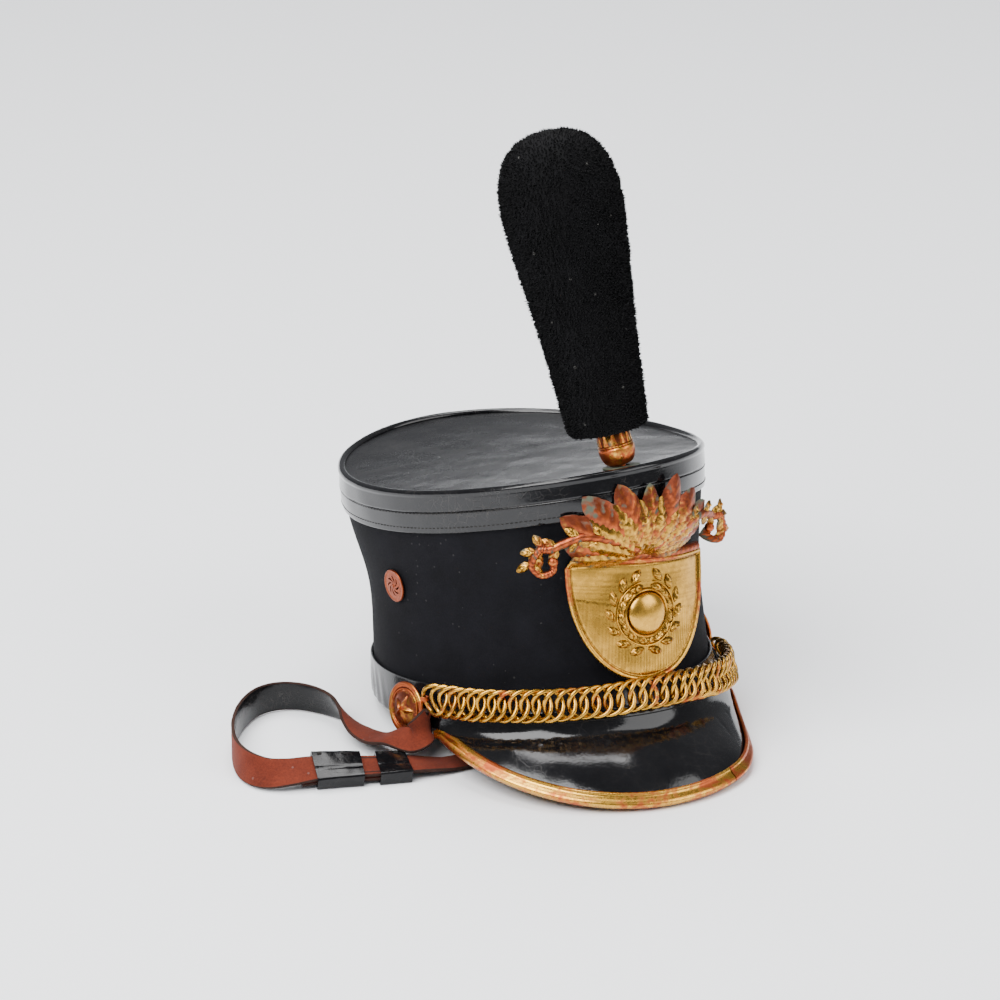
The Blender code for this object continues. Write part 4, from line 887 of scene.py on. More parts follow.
SOCKET = leaning_frame(0.0016, 0.0119, math.radians(7.5))
POMPON = leaning_frame(0.0012, 0.0165, math.radians(4.0))
cut_hole(crown_leather, WASHER_HOLE, 0.02, HAT @ SOCKET)
finish(crown_leather, crown_patent, ("crown_top",), 60.0)

# %% washer and socket
low = GAP + 0.0001
washer_outline = [(WASHER_HOLE, low), (WASHER_RADIUS - 0.0002, low)]
washer_outline += arc(0.0004, -90, 90, 6, (WASHER_RADIUS - 0.0004, low + WASHER_THICKNESS * 0.5))
washer_outline += [
    (WASHER_RADIUS - 0.0016, low + WASHER_THICKNESS * 0.92), (0.0062, low + WASHER_THICKNESS * 0.8),
    (WASHER_HOLE, low + WASHER_THICKNESS), (WASHER_HOLE, low)]
foot = SOCKET.translation
rise = crown_surface(foot.x, foot.y + 0.004) - crown_surface(foot.x, foot.y - 0.004)
lie_flat = Matrix.Translation(foot) @ Matrix.Rotation(math.atan2(rise, 0.008), 4, "X")
washer = lathe("socket_washer_tin", washer_outline, 48, HAT @ lie_flat)
finish(washer, dull_tin, ("socket_washer",))

FOOT = GAP * 2.0 + WASHER_THICKNESS + 0.0004
RING = FOOT + 0.0100
RING_BEADS = 32
dome = arc(1.0, -78, 0, 14)
socket_outline = [(0.0, -0.0110), (PIN_RADIUS, -0.0110), (PIN_RADIUS, FOOT + 0.0001), (0.0040, FOOT)]
socket_outline += [(0.0040 + 0.0053 * x ** 0.8, FOOT + 0.0090 + 0.0088 * y) for x, y in dome[1:]]
socket_outline += [(SOCKET_RADIUS - 0.0004, RING - 0.0002), (SOCKET_RADIUS - 0.0006, RING)]
socket_outline += [
    (SOCKET_RADIUS - 0.0005 + 0.0004 * x, RING + 0.0006 + 0.0005 * y) for x, y in arc(1.0, -80, 80, 6)]
socket_outline += [
    (SOCKET_RADIUS - 0.0008, RING + 0.0014), (SOCKET_RADIUS - 0.0009, SOCKET_TOP), (0.0, SOCKET_TOP)]
socket = lathe("pompon_socket_brass", socket_outline, 64, LEVEL)


def socket_relief(corner):
    """Relief: undarkened on the dome, bright beads on the ring with painted shade between them, and painted
    shade on the sleeve behind the leaves.
    """
    if corner.z > RING + 0.0012:
        return 0.15
    if abs(corner.z - (RING + 0.0006)) < 0.0008:
        return 0.35 + 0.65 * (0.5 + 0.5 * math.cos(math.atan2(corner.y, corner.x) * RING_BEADS))
    return 1.0


keep_relief(socket, [socket_relief(vertex.co) for vertex in socket.data.vertices])
socket.data.transform(HAT @ SOCKET)

# %% [markdown]
# The sleeve above the ring is chased with a row of pointed leaves. One small leaf is a cone that
# is flattened and laid on the sleeve, and twelve copies go round it.

# %% leaves on the socket
SOCKET_LEAVES = 12
clear_selection()
bpy.ops.mesh.primitive_cone_add(vertices=10, radius1=0.0021, radius2=0.0002, depth=0.0085)
leaf = bpy.context.active_object
leaf.data.transform(Matrix.Diagonal((0.75, 0.22, 1.0, 1.0)))
on_sleeve = Matrix.Translation((0.0, -(SOCKET_RADIUS - 0.0009), RING + 0.0057))
turns = [Matrix.Rotation(math.tau * i / SOCKET_LEAVES, 4, "Z") for i in range(SOCKET_LEAVES)]
leaves = copies(leaf, [HAT @ SOCKET @ turn @ on_sleeve for turn in turns])
rivet_outline = [(0.0, 0.0009)] + arc(0.0012, 70, 0, 4, (0.0, -0.0002)) + [(0.0012, -0.0010)]
on_dome = Matrix.Rotation(math.radians(-14), 4, "Z") @ Matrix.Translation((0.0, -0.0084, FOOT + 0.0052))
rivet = lathe("rivet", rivet_outline, 16, HAT @ SOCKET @ on_dome @ Matrix.Rotation(math.radians(90), 4, "X"))
for piece in leaves + [rivet]:
    keep_relief(piece, [0.9] * len(piece.data.vertices))
socket = join("pompon_socket_brass", [socket] + leaves + [rivet])
finish(socket, socket_brass, ("pompon_socket",), 50.0)

# %% [markdown]
# ## The pompon
#
# The pompon is a clipped brush of wool, wider at the top than at its foot. A turned core gives its
# form. Thousands of short bent tufts, each with three sides and only six faces, stand on the core
# and make the ragged edge that a bump map can't.

# %% pompon core
POMPON_OUTLINE = (
    (0.0188, 0.0165), (0.0213, 0.0205), (0.0318, 0.0217), (0.0643, 0.0243),
    (0.0963, 0.0276), (0.1203, 0.0303), (0.1368, 0.0312), (0.1493, 0.0300),
    (0.1593, 0.0268), (0.1678, 0.0205), (0.1728, 0.0110), (0.1743, 0.0),
)
TUFT_LENGTH = 0.0022
core = [curve_through(POMPON_OUTLINE, (len(POMPON_OUTLINE) - 1) * i / 60) for i in range(61)]
core_outline = [(0.0, 0.0290), (0.0102, 0.0290), (0.0102, 0.0192)]
core_outline += [(max(0.0, radius - 0.0014), along) for along, radius in core]
pompon = lathe("pompon_wool", core_outline, 72, LEVEL)

# %% tufts
TUFTS = 15000
TUFT_RADIUS = 0.00042
TUFT_ROOT = 0.0016
GOLDEN_ANGLE = 2.399963


def pompon_tufts():
    """Bent three-sided tufts, spread evenly over the pompon by a golden angle."""
    spans = []
    total = 0.0
    for (a0, r0), (a1, r1) in zip(core, core[1:]):
        area = (r0 + r1) * math.hypot(a1 - a0, r1 - r0)
        spans.append((total, area, a0, r0, a1, r1))
        total += area
    points, faces = [], []
    index = 0
    for tuft in range(TUFTS):
        target = total * (tuft + 0.5) / TUFTS
        while index < len(spans) - 1 and target > spans[index][0] + spans[index][1]:
            index += 1
        start, area, a0, r0, a1, r1 = spans[index]
        share = (target - start) / area
        along, radius = a0 + (a1 - a0) * share, r0 + (r1 - r0) * share
        turn = tuft * GOLDEN_ANGLE + rng.uniform(-0.02, 0.02)
        out = Vector((a1 - a0, 0.0, r0 - r1)).normalized()
        out = Vector((out.x * math.cos(turn), out.x * math.sin(turn), out.z))
        root = Vector((radius * math.cos(turn), radius * math.sin(turn), along)) - out * TUFT_ROOT
        wander = Vector((rng.uniform(-1, 1), rng.uniform(-1, 1), rng.uniform(-1, 1)))
        clump = noise.noise(root / 0.0045)
        length = TUFT_LENGTH * (0.95 + 0.35 * clump + rng.uniform(-0.25, 0.25))
        lean = (out + wander * 0.45).normalized()
        first = root + lean * length * 0.6
        tip = first + (lean + wander.yzx * 0.7).normalized() * length * 0.5
        side = out.cross(wander).normalized()
        other = out.cross(side)
        base = len(points)
        for centre, size in ((root, TUFT_RADIUS), (first, TUFT_RADIUS * 0.9)):
            for corner in range(3):
                angle = math.tau * corner / 3.0
                points.append(centre + (side * math.cos(angle) + other * math.sin(angle)) * size)
        points.append(tip)
        for corner in range(3):
            after = (corner + 1) % 3
            faces.append((base + corner, base + after, base + 3 + after, base + 3 + corner))
            faces.append((base + 3 + corner, base + 3 + after, base + 6))
    return points, faces


tufts = mesh_object("tufts", *pompon_tufts())
pompon = join("pompon_wool", [pompon, tufts])
pompon.data.transform(HAT @ POMPON)
finish(pompon, pile, ("pompon",), 80.0)

# %% [markdown]
# ## The visor
#
# The visor is one piece of stout patent leather. Its flange stands up against the base band, it
# turns out over a soft crease, and it bulges on its way to the edge. The right side of this one is
# bent in and down. A closed outline across the leather is worked out at each place along it, and
# the flat grid is wrapped over all of them.

# %% helpers for closed strips
def close_ends(piece):
    """Fills the open ends of a tube-like grid and turns its faces outwards."""
    choose(piece)
    bpy.ops.object.mode_set(mode="EDIT")
    bpy.ops.mesh.select_all(action="DESELECT")
    bpy.ops.mesh.select_non_manifold()
    bpy.ops.mesh.fill_holes(sides=0)
    bpy.ops.mesh.select_all(action="SELECT")
    bpy.ops.mesh.normals_make_consistent(inside=False)
    bpy.ops.object.mode_set(mode="OBJECT")
    return piece


def skin(name, rings, length=1.0, height=1.0, matrix=HAT, relief=None, ends=True):
    """A closed skin over rings of points. Each ring ends where it began."""
    columns, rows = len(rings) - 1, len(rings[0]) - 1

    def place(u, v):
        return rings[round(u * columns)][round(v * rows)]

    piece = wrapped(name, columns, rows, place, length, height, matrix, relief)
    return close_ends(piece) if ends else piece


def bend_of_three(start, corner, end, steps):
    """A rounded corner: a curve from start to end that is drawn towards the corner."""
    shares = [i / steps for i in range(steps + 1)]
    return [start.lerp(corner, t).lerp(corner.lerp(end, t), t) for t in shares]


def scatter(name, pattern, matrices):
    """One mesh of many copies of a small pattern, which is removed."""
    corners = [vertex.co.copy() for vertex in pattern.data.vertices]
    sides = [tuple(face.vertices) for face in pattern.data.polygons]
    points, faces = [], []
    for matrix in matrices:
        base = len(points)
        points += [matrix @ corner for corner in corners]
        faces += [tuple(base + index for index in side) for side in sides]
    bpy.data.objects.remove(pattern, do_unlink=True)
    return mesh_object(name, points, faces)


def sew(name, places):
    """One mesh of small stitches: each is a short, slim bead of thread along its place's X."""
    clear_selection()
    bpy.ops.mesh.primitive_uv_sphere_add(
        segments=6, ring_count=4, radius=1.0, rotation=(0.0, math.pi / 2.0, 0.0))
    bpy.ops.object.transform_apply(location=False, rotation=True, scale=False)
    pattern = bpy.context.active_object
    pattern.data.transform(Matrix.Diagonal((0.00105, 0.00034, 0.00030, 1.0)))
    return finish(scatter(name, pattern, places), thread)


# %% the visor's surface
VISOR_ROUND_SHARE = 0.9
VISOR_CORNER_LENGTH = {-1.0: 0.0064, 1.0: 0.0220}
VISOR_CREASE_WIDTH = 0.0925
VISOR_CREASE_DEPTH = 0.1053
VISOR_CREASE_SLOPE = -0.035
VISOR_PIVOT = 0.020
VISOR_FLANGE_TOP = 0.0125
VISOR_FLANGE_HEIGHT = 0.0110
VISOR_HALF_WIDTH = 0.0872
VISOR_HALF_DEPTH = 0.0930
VISOR_CENTRE_Y = -0.0474
VISOR_DROP = 0.290
VISOR_CURVE = 6.5
VISOR_BEND_STEP = 0.15
VISOR_BEND = (
    (0.0000, 0.0005), (0.0000, 0.0010), (0.0012, 0.0020), (0.0060, 0.0042),
    (0.0105, 0.0072), (0.0112, 0.0100), (0.0050, 0.0125), (-0.0040, 0.0125),
)
BINDING_REACH = 0.0065


def visor_turn(share):
    """For a share from -1 to 1 along the visor: its side, quarter turn and straight run back."""
    hand = math.copysign(1.0, share)
    beyond = max(abs(share) - VISOR_ROUND_SHARE, 0.0) / (1.0 - VISOR_ROUND_SHARE)
    return hand, min(abs(share) / VISOR_ROUND_SHARE, 1.0), beyond * VISOR_CORNER_LENGTH[hand]


def visor_bend(share):
    return curve_through(VISOR_BEND, max(share, 0.0) / VISOR_BEND_STEP)


def visor_crease_angle(share):
    hand, round_part, beyond = visor_turn(share)
    return hand * round_part * math.acos((-VISOR_CENTRE_Y - beyond) / VISOR_CREASE_DEPTH)


def visor_crease(share):
    angle = visor_crease_angle(share)
    x, y = VISOR_CREASE_WIDTH * math.sin(angle), -VISOR_CREASE_DEPTH * math.cos(angle)
    return Vector((x, y, VISOR_CREASE_SLOPE * (y + VISOR_PIVOT) - SAG * hang(angle)))


def flange_top(share, offset):
    """The top of the visor's flange, outside the base band."""
    angle = visor_crease_angle(share)
    top = wall_point(angle, VISOR_FLANGE_HEIGHT, GAP * 2.0 + LEATHER + offset)
    slope = VISOR_CREASE_SLOPE * (visor_crease(share).y + VISOR_PIVOT)
    top.z = VISOR_FLANGE_TOP + slope - SAG * hang(angle)
    return top


def visor_edge(share):
    hand, round_part, beyond = visor_turn(share)
    inset, drop = visor_bend(share)
    forward = VISOR_HALF_DEPTH * math.cos(round_part * math.pi / 2.0)
    x = hand * VISOR_HALF_WIDTH * math.sin(round_part * math.pi / 2.0) - inset
    return Vector((x, VISOR_CENTRE_Y - forward + beyond, -VISOR_DROP * forward + 0.1 * beyond - drop))


def outwards(direction, place):
    away = Vector((place.x, place.y, 0.0)).normalized() + Vector((0.0, 0.0, 1.0))
    return direction if direction.dot(away) > 0.0 else -direction


@lru_cache(maxsize=None)
def visor_station(share):
    """The crease, the edge, the way along and the way that the brim bulges."""
    crease, edge = visor_crease(share), visor_edge(share)
    along = visor_edge(share + 0.01) - visor_edge(share - 0.01)
    return crease, edge, along, outwards((edge - crease).cross(along).normalized(), edge)


def visor_surface(share, distance):
    """The visor's top: distance is 0 at the crease and 1 at the outer edge."""
    crease, edge, _, lean = visor_station(share)
    bulge = VISOR_CURVE * (edge - crease).length_squared * distance * (1.0 - distance)
    return crease.lerp(edge, distance) + lean * bulge


def visor_place(share, inward, lift):
    """A place near the visor's edge: inward from the edge and lifted off the top."""
    crease, edge, along, _ = visor_station(share)
    distance = 1.0 - max(inward, 0.0) / (edge - crease).length
    out = visor_surface(share, distance) - visor_surface(share, distance - 0.01)
    out = (out - along * out.dot(along) / along.length_squared).normalized()
    up = outwards(out.cross(along).normalized(), edge)
    return visor_surface(share, distance) + up * lift - out * min(inward, 0.0)


# %% [markdown]
# The leather has been folded and dropped in its long life. Fine folds run from the crease towards
# the edge, four on its right and one on its left. Each is a shallow groove in the mesh.

# %% visor leather
FOLD_COLUMNS = ("share", "start", "end", "lean", "depth")
FOLDS = (
    (0.160, 0.00, 0.14, 0.02, 0.00030),
    (0.425, 0.00, 0.62, -0.05, 0.00045),
    (0.520, 0.00, 0.30, 0.03, 0.00035),
    (0.350, 0.00, 0.10, 0.04, 0.00060),
    (-0.350, 0.05, 0.24, 0.05, 0.00020),
)
FOLD_WIDTH = 0.0052


def fold_at(share, distance):
    """How deep the folds are at a place on the brim, in metres."""
    deepest = 0.0
    for row in FOLDS:
        line = dict(zip(FOLD_COLUMNS, row))
        along = (distance - line["start"]) / (line["end"] - line["start"])
        if not -0.1 < along < 1.0:
            continue
        wander = 0.006 * noise.noise(Vector((distance * 9.0, line["share"] * 40.0, 0.0)))
        away = (share - line["share"] - line["lean"] * distance - wander) / FOLD_WIDTH
        fade = min(1.0, (1.0 - along) * 3.0)
        deepest = max(deepest, line["depth"] * fade * math.exp(-away * away))
    return deepest


def visor_ring(share):
    """The closed outline across the leather, from the flange's inside round to it again."""
    crease, edge, _, _ = visor_station(share)
    away = Vector((crease.x, crease.y, 0.0)).normalized()
    inner, outer = flange_top(share, 0.0), flange_top(share, LEATHER)
    breadth = (edge - crease).length
    start = min(0.0042 / breadth, 0.30)
    flange_foot = outer.lerp(crease, 0.62)
    over, below, middle = Vector((0.0, 0.0, 0.0001)), Vector((0.0, 0.0, -0.0007)), inner.lerp(outer, 0.5)
    ring = bend_of_three(inner + below, inner + over, middle, 3)
    ring += bend_of_three(middle, outer + over, outer + below, 3)[1:]
    ring += [outer.lerp(flange_foot, part) for part in (0.35, 0.7)]
    ring += bend_of_three(flange_foot, crease, visor_surface(share, start), 8)
    for step in range(1, 25):
        distance = start + (1.0 - start) * step / 24.0
        place = visor_surface(share, distance)
        wave = ripple(place, 0.030, 0.00055) + ripple(place, 0.012, 0.00018)
        lift = wave * min(1.0, (1.0 - distance) * 6.0) - fold_at(share, distance)
        ring.append(visor_place(share, (1.0 - distance) * breadth, lift))
    ring.append(visor_place(share, -0.0002, -LEATHER / 2.0))
    for step in range(8):
        ring.append(visor_place(share, breadth * (1.0 - start) * step / 7.0, -LEATHER))
    corner = crease - away * LEATHER - Vector((0.0, 0.0, LEATHER * 0.6))
    ring.append(corner)
    ring.append(corner.lerp(inner, 0.5))
    return ring + ring[:1]


VISOR_STATIONS = 200
shares = [-1.0 + 2.0 * i / VISOR_STATIONS for i in range(VISOR_STATIONS + 1)]
visor_leather = skin("visor_leather", [visor_ring(share) for share in shares], 0.30, 0.11)
finish(visor_leather, visor_patent, ("visor",), 60.0)

# %% stitches of the visor's flange
FLANGE_STITCHES = 130
flange_places = []
for i in range(FLANGE_STITCHES):
    share = -0.90 + 1.80 * i / (FLANGE_STITCHES - 1)
    crease, top = visor_crease(share), flange_top(share, LEATHER)
    along = visor_crease(share + 0.01) - visor_crease(share - 0.01)
    seat = square_frame(top.lerp(crease, 0.40), along, top - crease, Vector((crease.x, crease.y, 0.0)))
    flange_places.append(HAT @ seat @ Matrix.Translation((0.0, 0.0, 0.0001)))
sew("visor_stitches", flange_places)

# %% [markdown]
# ## The visor's brass edge
#
# A brass strip is folded over the visor's edge. Its top has two rounded ridges with a groove
# between them, and it is soldered from two lengths, so a hairline gap shows on the right.

# %% binding
BINDING_WALL = 0.0007
CLEAR = GAP * 2.2
JOINT = 0.232
JOINT_GAP = 0.0032


def binding_lift(inward, reach):
    """Height of the brass over the leather: a ridge at its inner border and a wide one outside."""
    along = inward / reach
    border = math.exp(-((along - 0.84) / 0.11) ** 2)
    outer = math.exp(-((along - 0.10) / 0.30) ** 2)
    return CLEAR + BINDING_WALL + 0.00075 * border + 0.00070 * outer


def binding_ring(share):
    breadth = (visor_edge(share) - visor_crease(share)).length
    reach = min(BINDING_REACH, 0.65 * breadth)
    under = -LEATHER - CLEAR
    rows = [(reach, CLEAR), (reach, CLEAR + BINDING_WALL * 0.6)]
    rows += [(reach * (1.0 - i / 18.0), binding_lift(reach * (1.0 - i / 18.0), reach)) for i in range(19)]
    top = binding_lift(0.0, reach)
    middle = (top + under - BINDING_WALL) / 2.0
    rows += [(-0.0013 * x, middle + (top - middle) * y) for x, y in arc(1.0, 75, -90, 8)]
    rows += [(reach * part, under - BINDING_WALL) for part in (0.3, 0.7, 1.0)]
    rows += [(reach, under), (-CLEAR, under), (-CLEAR, CLEAR), (reach, CLEAR)]
    dent = ripple(visor_edge(share), 0.013, 0.00022)
    return [visor_place(share, inward, lift + dent * (lift > CLEAR)) for inward, lift in rows]


right_shares = [JOINT + JOINT_GAP] + [share for share in shares if share > JOINT + 2.0 * JOINT_GAP]
binding_left = skin("binding_left", [binding_ring(share) for share in shares if share < JOINT], 0.20, 0.02)
binding_right = skin("binding_right", [binding_ring(share) for share in right_shares], 0.10, 0.02)
binding_left.data.materials.append(binding_brass)
binding_right.data.materials.append(binding_red_brass)
visor_binding = join("visor_binding_brass", [binding_left, binding_right])
finish(visor_binding, None, ("visor_binding",), 50.0)

# %% [markdown]
# ## The chain
#
# The chin chain is made of large round rings of thin wire. Each passes through several others and
# leans on the next, like shingles. A ring that weaves a little in front and behind lets all of them
# be copies of one. They lie a little further apart towards the right, where the chain hangs lower.

# %% chain
CHAIN_HALF_WIDTH = 0.0958
CHAIN_HALF_DEPTH = 0.1076
CHAIN_HEIGHT = 0.0180
CHAIN_SLOPE = -0.030
CHAIN_SAG = 0.0150
CHAIN_TUCK = 0.024
CHAIN_END = {-1: math.radians(66.0), 1: math.radians(76.0)}
LINK_COUNT = 40
LINK_GROWTH = 0.13
LINK_RADIUS = 0.0077
LINK_WIRE = 0.00118
LINK_TWIST = -0.0018
LINK_SHINGLE = 0.045
LINK_LEAN = math.radians(8)


def chain_point(angle):
    low_share = max(math.sin(angle), 0.0) ** 1.5
    tuck = 1.0 - CHAIN_TUCK * low_share
    x, y = CHAIN_HALF_WIDTH * math.sin(angle) * tuck, -CHAIN_HALF_DEPTH * math.cos(angle) * tuck
    return Vector((x, y, CHAIN_HEIGHT + CHAIN_SLOPE * (y + 0.020) - CHAIN_SAG * low_share))


def chain_frame(angle):
    """A matrix on the chain's middle line: X along it, Y out from the hat, Z up the link."""
    along = (chain_point(angle + 0.002) - chain_point(angle - 0.002)).normalized()
    out = Vector((along.y, -along.x, 0.0)).normalized()
    upright = out.cross(along).normalized()
    if upright.z < 0.0:
        upright.negate()
    return frame_at(chain_point(angle), along, out, upright) @ Matrix.Rotation(LINK_LEAN, 4, "X")


def chain_angles():
    samples = 4000
    span = CHAIN_END[-1] + CHAIN_END[1]
    angles = [span * i / samples - CHAIN_END[-1] for i in range(samples + 1)]
    points = [chain_point(angle) for angle in angles]
    lengths = [0.0]
    for before, after in zip(points, points[1:]):
        lengths.append(lengths[-1] + (after - before).length)
    shares = [link / (LINK_COUNT - 1) for link in range(LINK_COUNT)]
    targets = [lengths[-1] * share * (1.0 - LINK_GROWTH * (1.0 - share)) for share in shares]
    return [angles[int(np.searchsorted(lengths, target - 1e-9))] for target in targets]


clear_selection()
bpy.ops.mesh.primitive_torus_add(
    major_segments=36, minor_segments=10, major_radius=LINK_RADIUS, minor_radius=LINK_WIRE,
    rotation=(math.pi / 2.0, 0.0, 0.0))
bpy.ops.object.transform_apply(location=True, rotation=True, scale=True)
link = bpy.context.active_object
for vertex in link.data.vertices:
    turn = math.atan2(vertex.co.z, vertex.co.x)
    vertex.co.y += LINK_TWIST * math.sin(2.0 * turn) + LINK_SHINGLE * vertex.co.x
link_places = []
for index, angle in enumerate(chain_angles()):
    slack = Matrix.Rotation(rng.uniform(-0.05, 0.05), 4, "X")
    slack = slack @ Matrix.Rotation(rng.uniform(-0.25, 0.25), 4, "Y")
    oval = Matrix.Diagonal((1.0 + rng.uniform(-0.02, 0.02), 1.0, 1.0 + rng.uniform(-0.02, 0.02), 1.0))
    hooked = index in (0, LINK_COUNT - 1)
    link_places.append(HAT @ chain_frame(angle) @ (LEVEL if hooked else slack @ oval))
chain = join("chin_chain_links", copies(link, link_places))
finish(chain, chain_brass, ("chin_chain",), 60.0)

# %% [markdown]
# ## The chain's hooks
#
# A flat strip of copper runs from behind each button and bends round the last link. It is made
# like the strap further down: a small closed outline, here with eased corners, follows a route.

# %% hooks
BUTTON_ANGLE = {-1: math.radians(78), 1: math.radians(92)}
BUTTON_HEIGHT = 0.0092
BUTTON_RADIUS = 0.0140
BUTTON_STANDOFF = 0.0054
HOOK_WIDTH = 0.0046
HOOK_END_WIDTH = 0.0022
HOOK_DEPTH = -0.0010
HOOK_REACH = (-0.0045, 0.0, 0.0060, 0.0120, 0.0148)
HOOK_THICKNESS = 0.0009


def button_frame(side):
    return wall_frame(side * BUTTON_ANGLE[side], BUTTON_HEIGHT, GAP + LEATHER + BUTTON_STANDOFF)


def flat_outline(width, thickness, corner, steps=3, sides=6):
    """A closed outline of a flat strip with rounded edges: (across, out) rows."""
    a, b = width / 2.0 - corner, thickness / 2.0 - corner
    points = []
    for start, centre in ((-90, (a, -b)), (0, (a, b)), (90, (-a, b)), (180, (-a, -b))):
        points += arc(corner, start, start + 90, steps, centre)
        if start in (0, 180):
            turned = -1.0 if start == 0 else 1.0
            points += [
                (a * -turned + 2.0 * a * turned * i / sides, (b + corner) * -turned) for i in range(1, sides)]
    return points + points[:1]


def strip_rings(route, axes, outline):
    """Rings of an outline along a route. Each axis is the strip's own sideways direction."""
    rings = []
    last = len(route) - 1
    for i, centre in enumerate(route):
        along = (route[min(i + 1, last)] - route[max(i - 1, 0)]).normalized()
        sideways = (axes[i] - along * axes[i].dot(along)).normalized()
        face = along.cross(sideways)
        points = outline(i / last) if callable(outline) else outline
        rings.append([centre + sideways * a + face * b for a, b in points])
    return rings


def smooth_rows(rows, count):
    """Vectors at even places of a smooth curve through the rows."""
    return [Vector(curve_through(rows, (len(rows) - 1) * i / (count - 1))) for i in range(count)]


for side in (-1, 1):
    end = chain_frame(side * CHAIN_END[side])
    turned = end.to_3x3()
    along, out, upright = (turned @ Vector(way) for way in ((side, 0, 0), (0, 1, 0), (0, 0, 1)))
    wire = end.translation + along * LINK_RADIUS
    clear = LINK_WIRE + GAP * 3.0 + HOOK_THICKNESS / 2.0
    seat = button_frame(side)
    toward = (seat.inverted() @ wire).xy.normalized()
    route = [seat @ Vector((toward.x * reach, toward.y * reach, HOOK_DEPTH)) for reach in HOOK_REACH]
    bends = arc(clear, 270, 90, 4)
    route += [wire + along * x + out * y for x, y in bends]
    sideways = seat.to_3x3() @ Vector((-toward.y * -side, toward.x * -side, 0.0))
    axes = [sideways] * len(HOOK_REACH) + [upright] * len(bends)

    def hook_outline(share):
        width = HOOK_WIDTH + (HOOK_END_WIDTH - HOOK_WIDTH) * min(1.0, 1.5 * share)
        return flat_outline(width, HOOK_THICKNESS, 0.00028)

    rings = strip_rings(smooth_rows(route, 40), smooth_rows(axes, 40), hook_outline)
    name = "left" if side < 0 else "right"
    hook = skin("chain_hook_copper_" + name, rings)
    finish(hook, hook_copper, ("chain_hook_" + name,))

# %% [markdown]
# ## The buttons
#
# Each button is a thick brass ring, a groove, a thin ring and a domed copper disc with a five-rayed
# star and a ring of beads. The outline is spun, then the corners of the disc are lifted: polar
# corners suit a star well.

# %% buttons
SHANK_RADIUS = 0.0012
STAR_RADIUS = 0.0078
BEAD_RADIUS = 0.0094
BEAD_COUNT = 36


def star_lift(radius, turn):
    """Height of the star's rays and the beads over the button's disc."""
    ray = abs((turn / math.tau * 5.0 + 0.5) % 1.0 - 0.5) * 2.0
    reach = STAR_RADIUS * (0.44 + 0.56 * (1.0 - ray) ** 1.7)
    star = max(0.0, 1.0 - radius / reach) ** 0.75 * 0.0021
    ridge = 1.0 - 0.35 * min(1.0, ray * 2.2)
    bead = max(0.0, 1.0 - ((radius - BEAD_RADIUS) / 0.0007) ** 2) * (0.5 + 0.5 * math.cos(turn * BEAD_COUNT))
    return star * ridge + bead * 0.0005


def make_button(name, seat):
    foot = -BUTTON_STANDOFF + GAP
    outline = [(0.0, foot), (SHANK_RADIUS, foot), (SHANK_RADIUS, -0.0001), (0.0070, 0.0)]
    outline += arc(0.0010, -90, 90, 8, (BUTTON_RADIUS - 0.0010, 0.0010))
    outline += arc(0.0006, 110, 200, 4, (BUTTON_RADIUS - 0.0022, 0.0014))
    outline += [(0.0110, 0.0012), (0.0108, 0.0016)] + arc(0.0004, 20, 160, 4, (0.0103, 0.0019))
    shares = [1.0 - i / 30.0 for i in range(1, 31)]
    outline += [(0.0098, 0.0017)]
    outline += [(0.0096 * share, 0.0017 + 0.0021 * (1.0 - share ** 2)) for share in shares]
    button = lathe(name, outline, 120, LEVEL)
    # The relief paints shade into the low places: darkest in the groove by the rim, dark on the disc's
    # ground, and less dark as the star and the beads rise.
    values = []
    for vertex in button.data.vertices:
        radius, turn = math.hypot(vertex.co.x, vertex.co.y), math.atan2(vertex.co.y, vertex.co.x)
        value = 1.0
        if radius < 0.0100 and vertex.co.z > 0.0016:
            lift = star_lift(radius, turn)
            vertex.co.z += lift
            value = 0.30 + min(0.6, lift * 500.0)
        elif 0.0100 < radius < 0.0122 and vertex.co.z < 0.0017:
            value = 0.1
        values.append(value)
    keep_relief(button, values)
    button.data.transform(HAT @ seat)
    return button


for side, name in ((-1, "left"), (1, "right")):
    button = make_button("button_brass_" + name, button_frame(side))
    finish(button, button_brass, ("button_" + name,), 35.0)

# %% [markdown]
# ## The vents
#
# A pierced copper disc covers a hole in the cloth on each side, so that the head can breathe. One
# slot is a curved drop shape. Eight copies of it are cut through the disc like a pinwheel.

# %% vents
SLOT_COUNT = 8


def slot_ring(level):
    """The outline of one curved slot at one level."""
    points = []
    for step in range(16):
        turn = math.tau * step / 16.0
        along = 0.5 - 0.5 * math.cos(turn)
        half = (0.00022 + 0.00072 * along) * math.sin(turn)
        radius = 0.0017 + 0.0036 * along
        swing = 0.85 * along + half / radius
        points.append(Vector((radius * math.cos(swing), radius * math.sin(swing), level)))
    return points + points[:1]


for side, name in ((-1, "left"), (1, "right")):
    seat = wall_frame(side * VENT_ANGLE, VENT_HEIGHT, 0.0005)
    disc = [(0.0, GAP), (VENT_RADIUS - 0.0002, GAP)]
    disc += arc(0.00055, -80, 110, 6, (VENT_RADIUS - 0.00055, GAP + 0.00065))
    disc += [(VENT_RADIUS - 0.0012, 0.00125)] + between((VENT_RADIUS - 0.0012, 0.00125), (0.0012, 0.0016), 8)
    disc += [(0.0012, 0.0016), (0.0008, 0.0020), (0.0, 0.0021)]
    vent = lathe("vent_copper_" + name, disc, 64, LEVEL)
    slot = skin("slot", [slot_ring(-0.004), slot_ring(0.006)], matrix=LEVEL)
    turns = [Matrix.Rotation(math.tau * i / SLOT_COUNT, 4, "Z") for i in range(SLOT_COUNT)]
    cutter = join("slots", copies(slot, turns))
    cut_away(vent, cutter)
    vent.data.transform(HAT @ seat)
    finish(vent, vent_copper, ("vent_" + name,), 35.0)

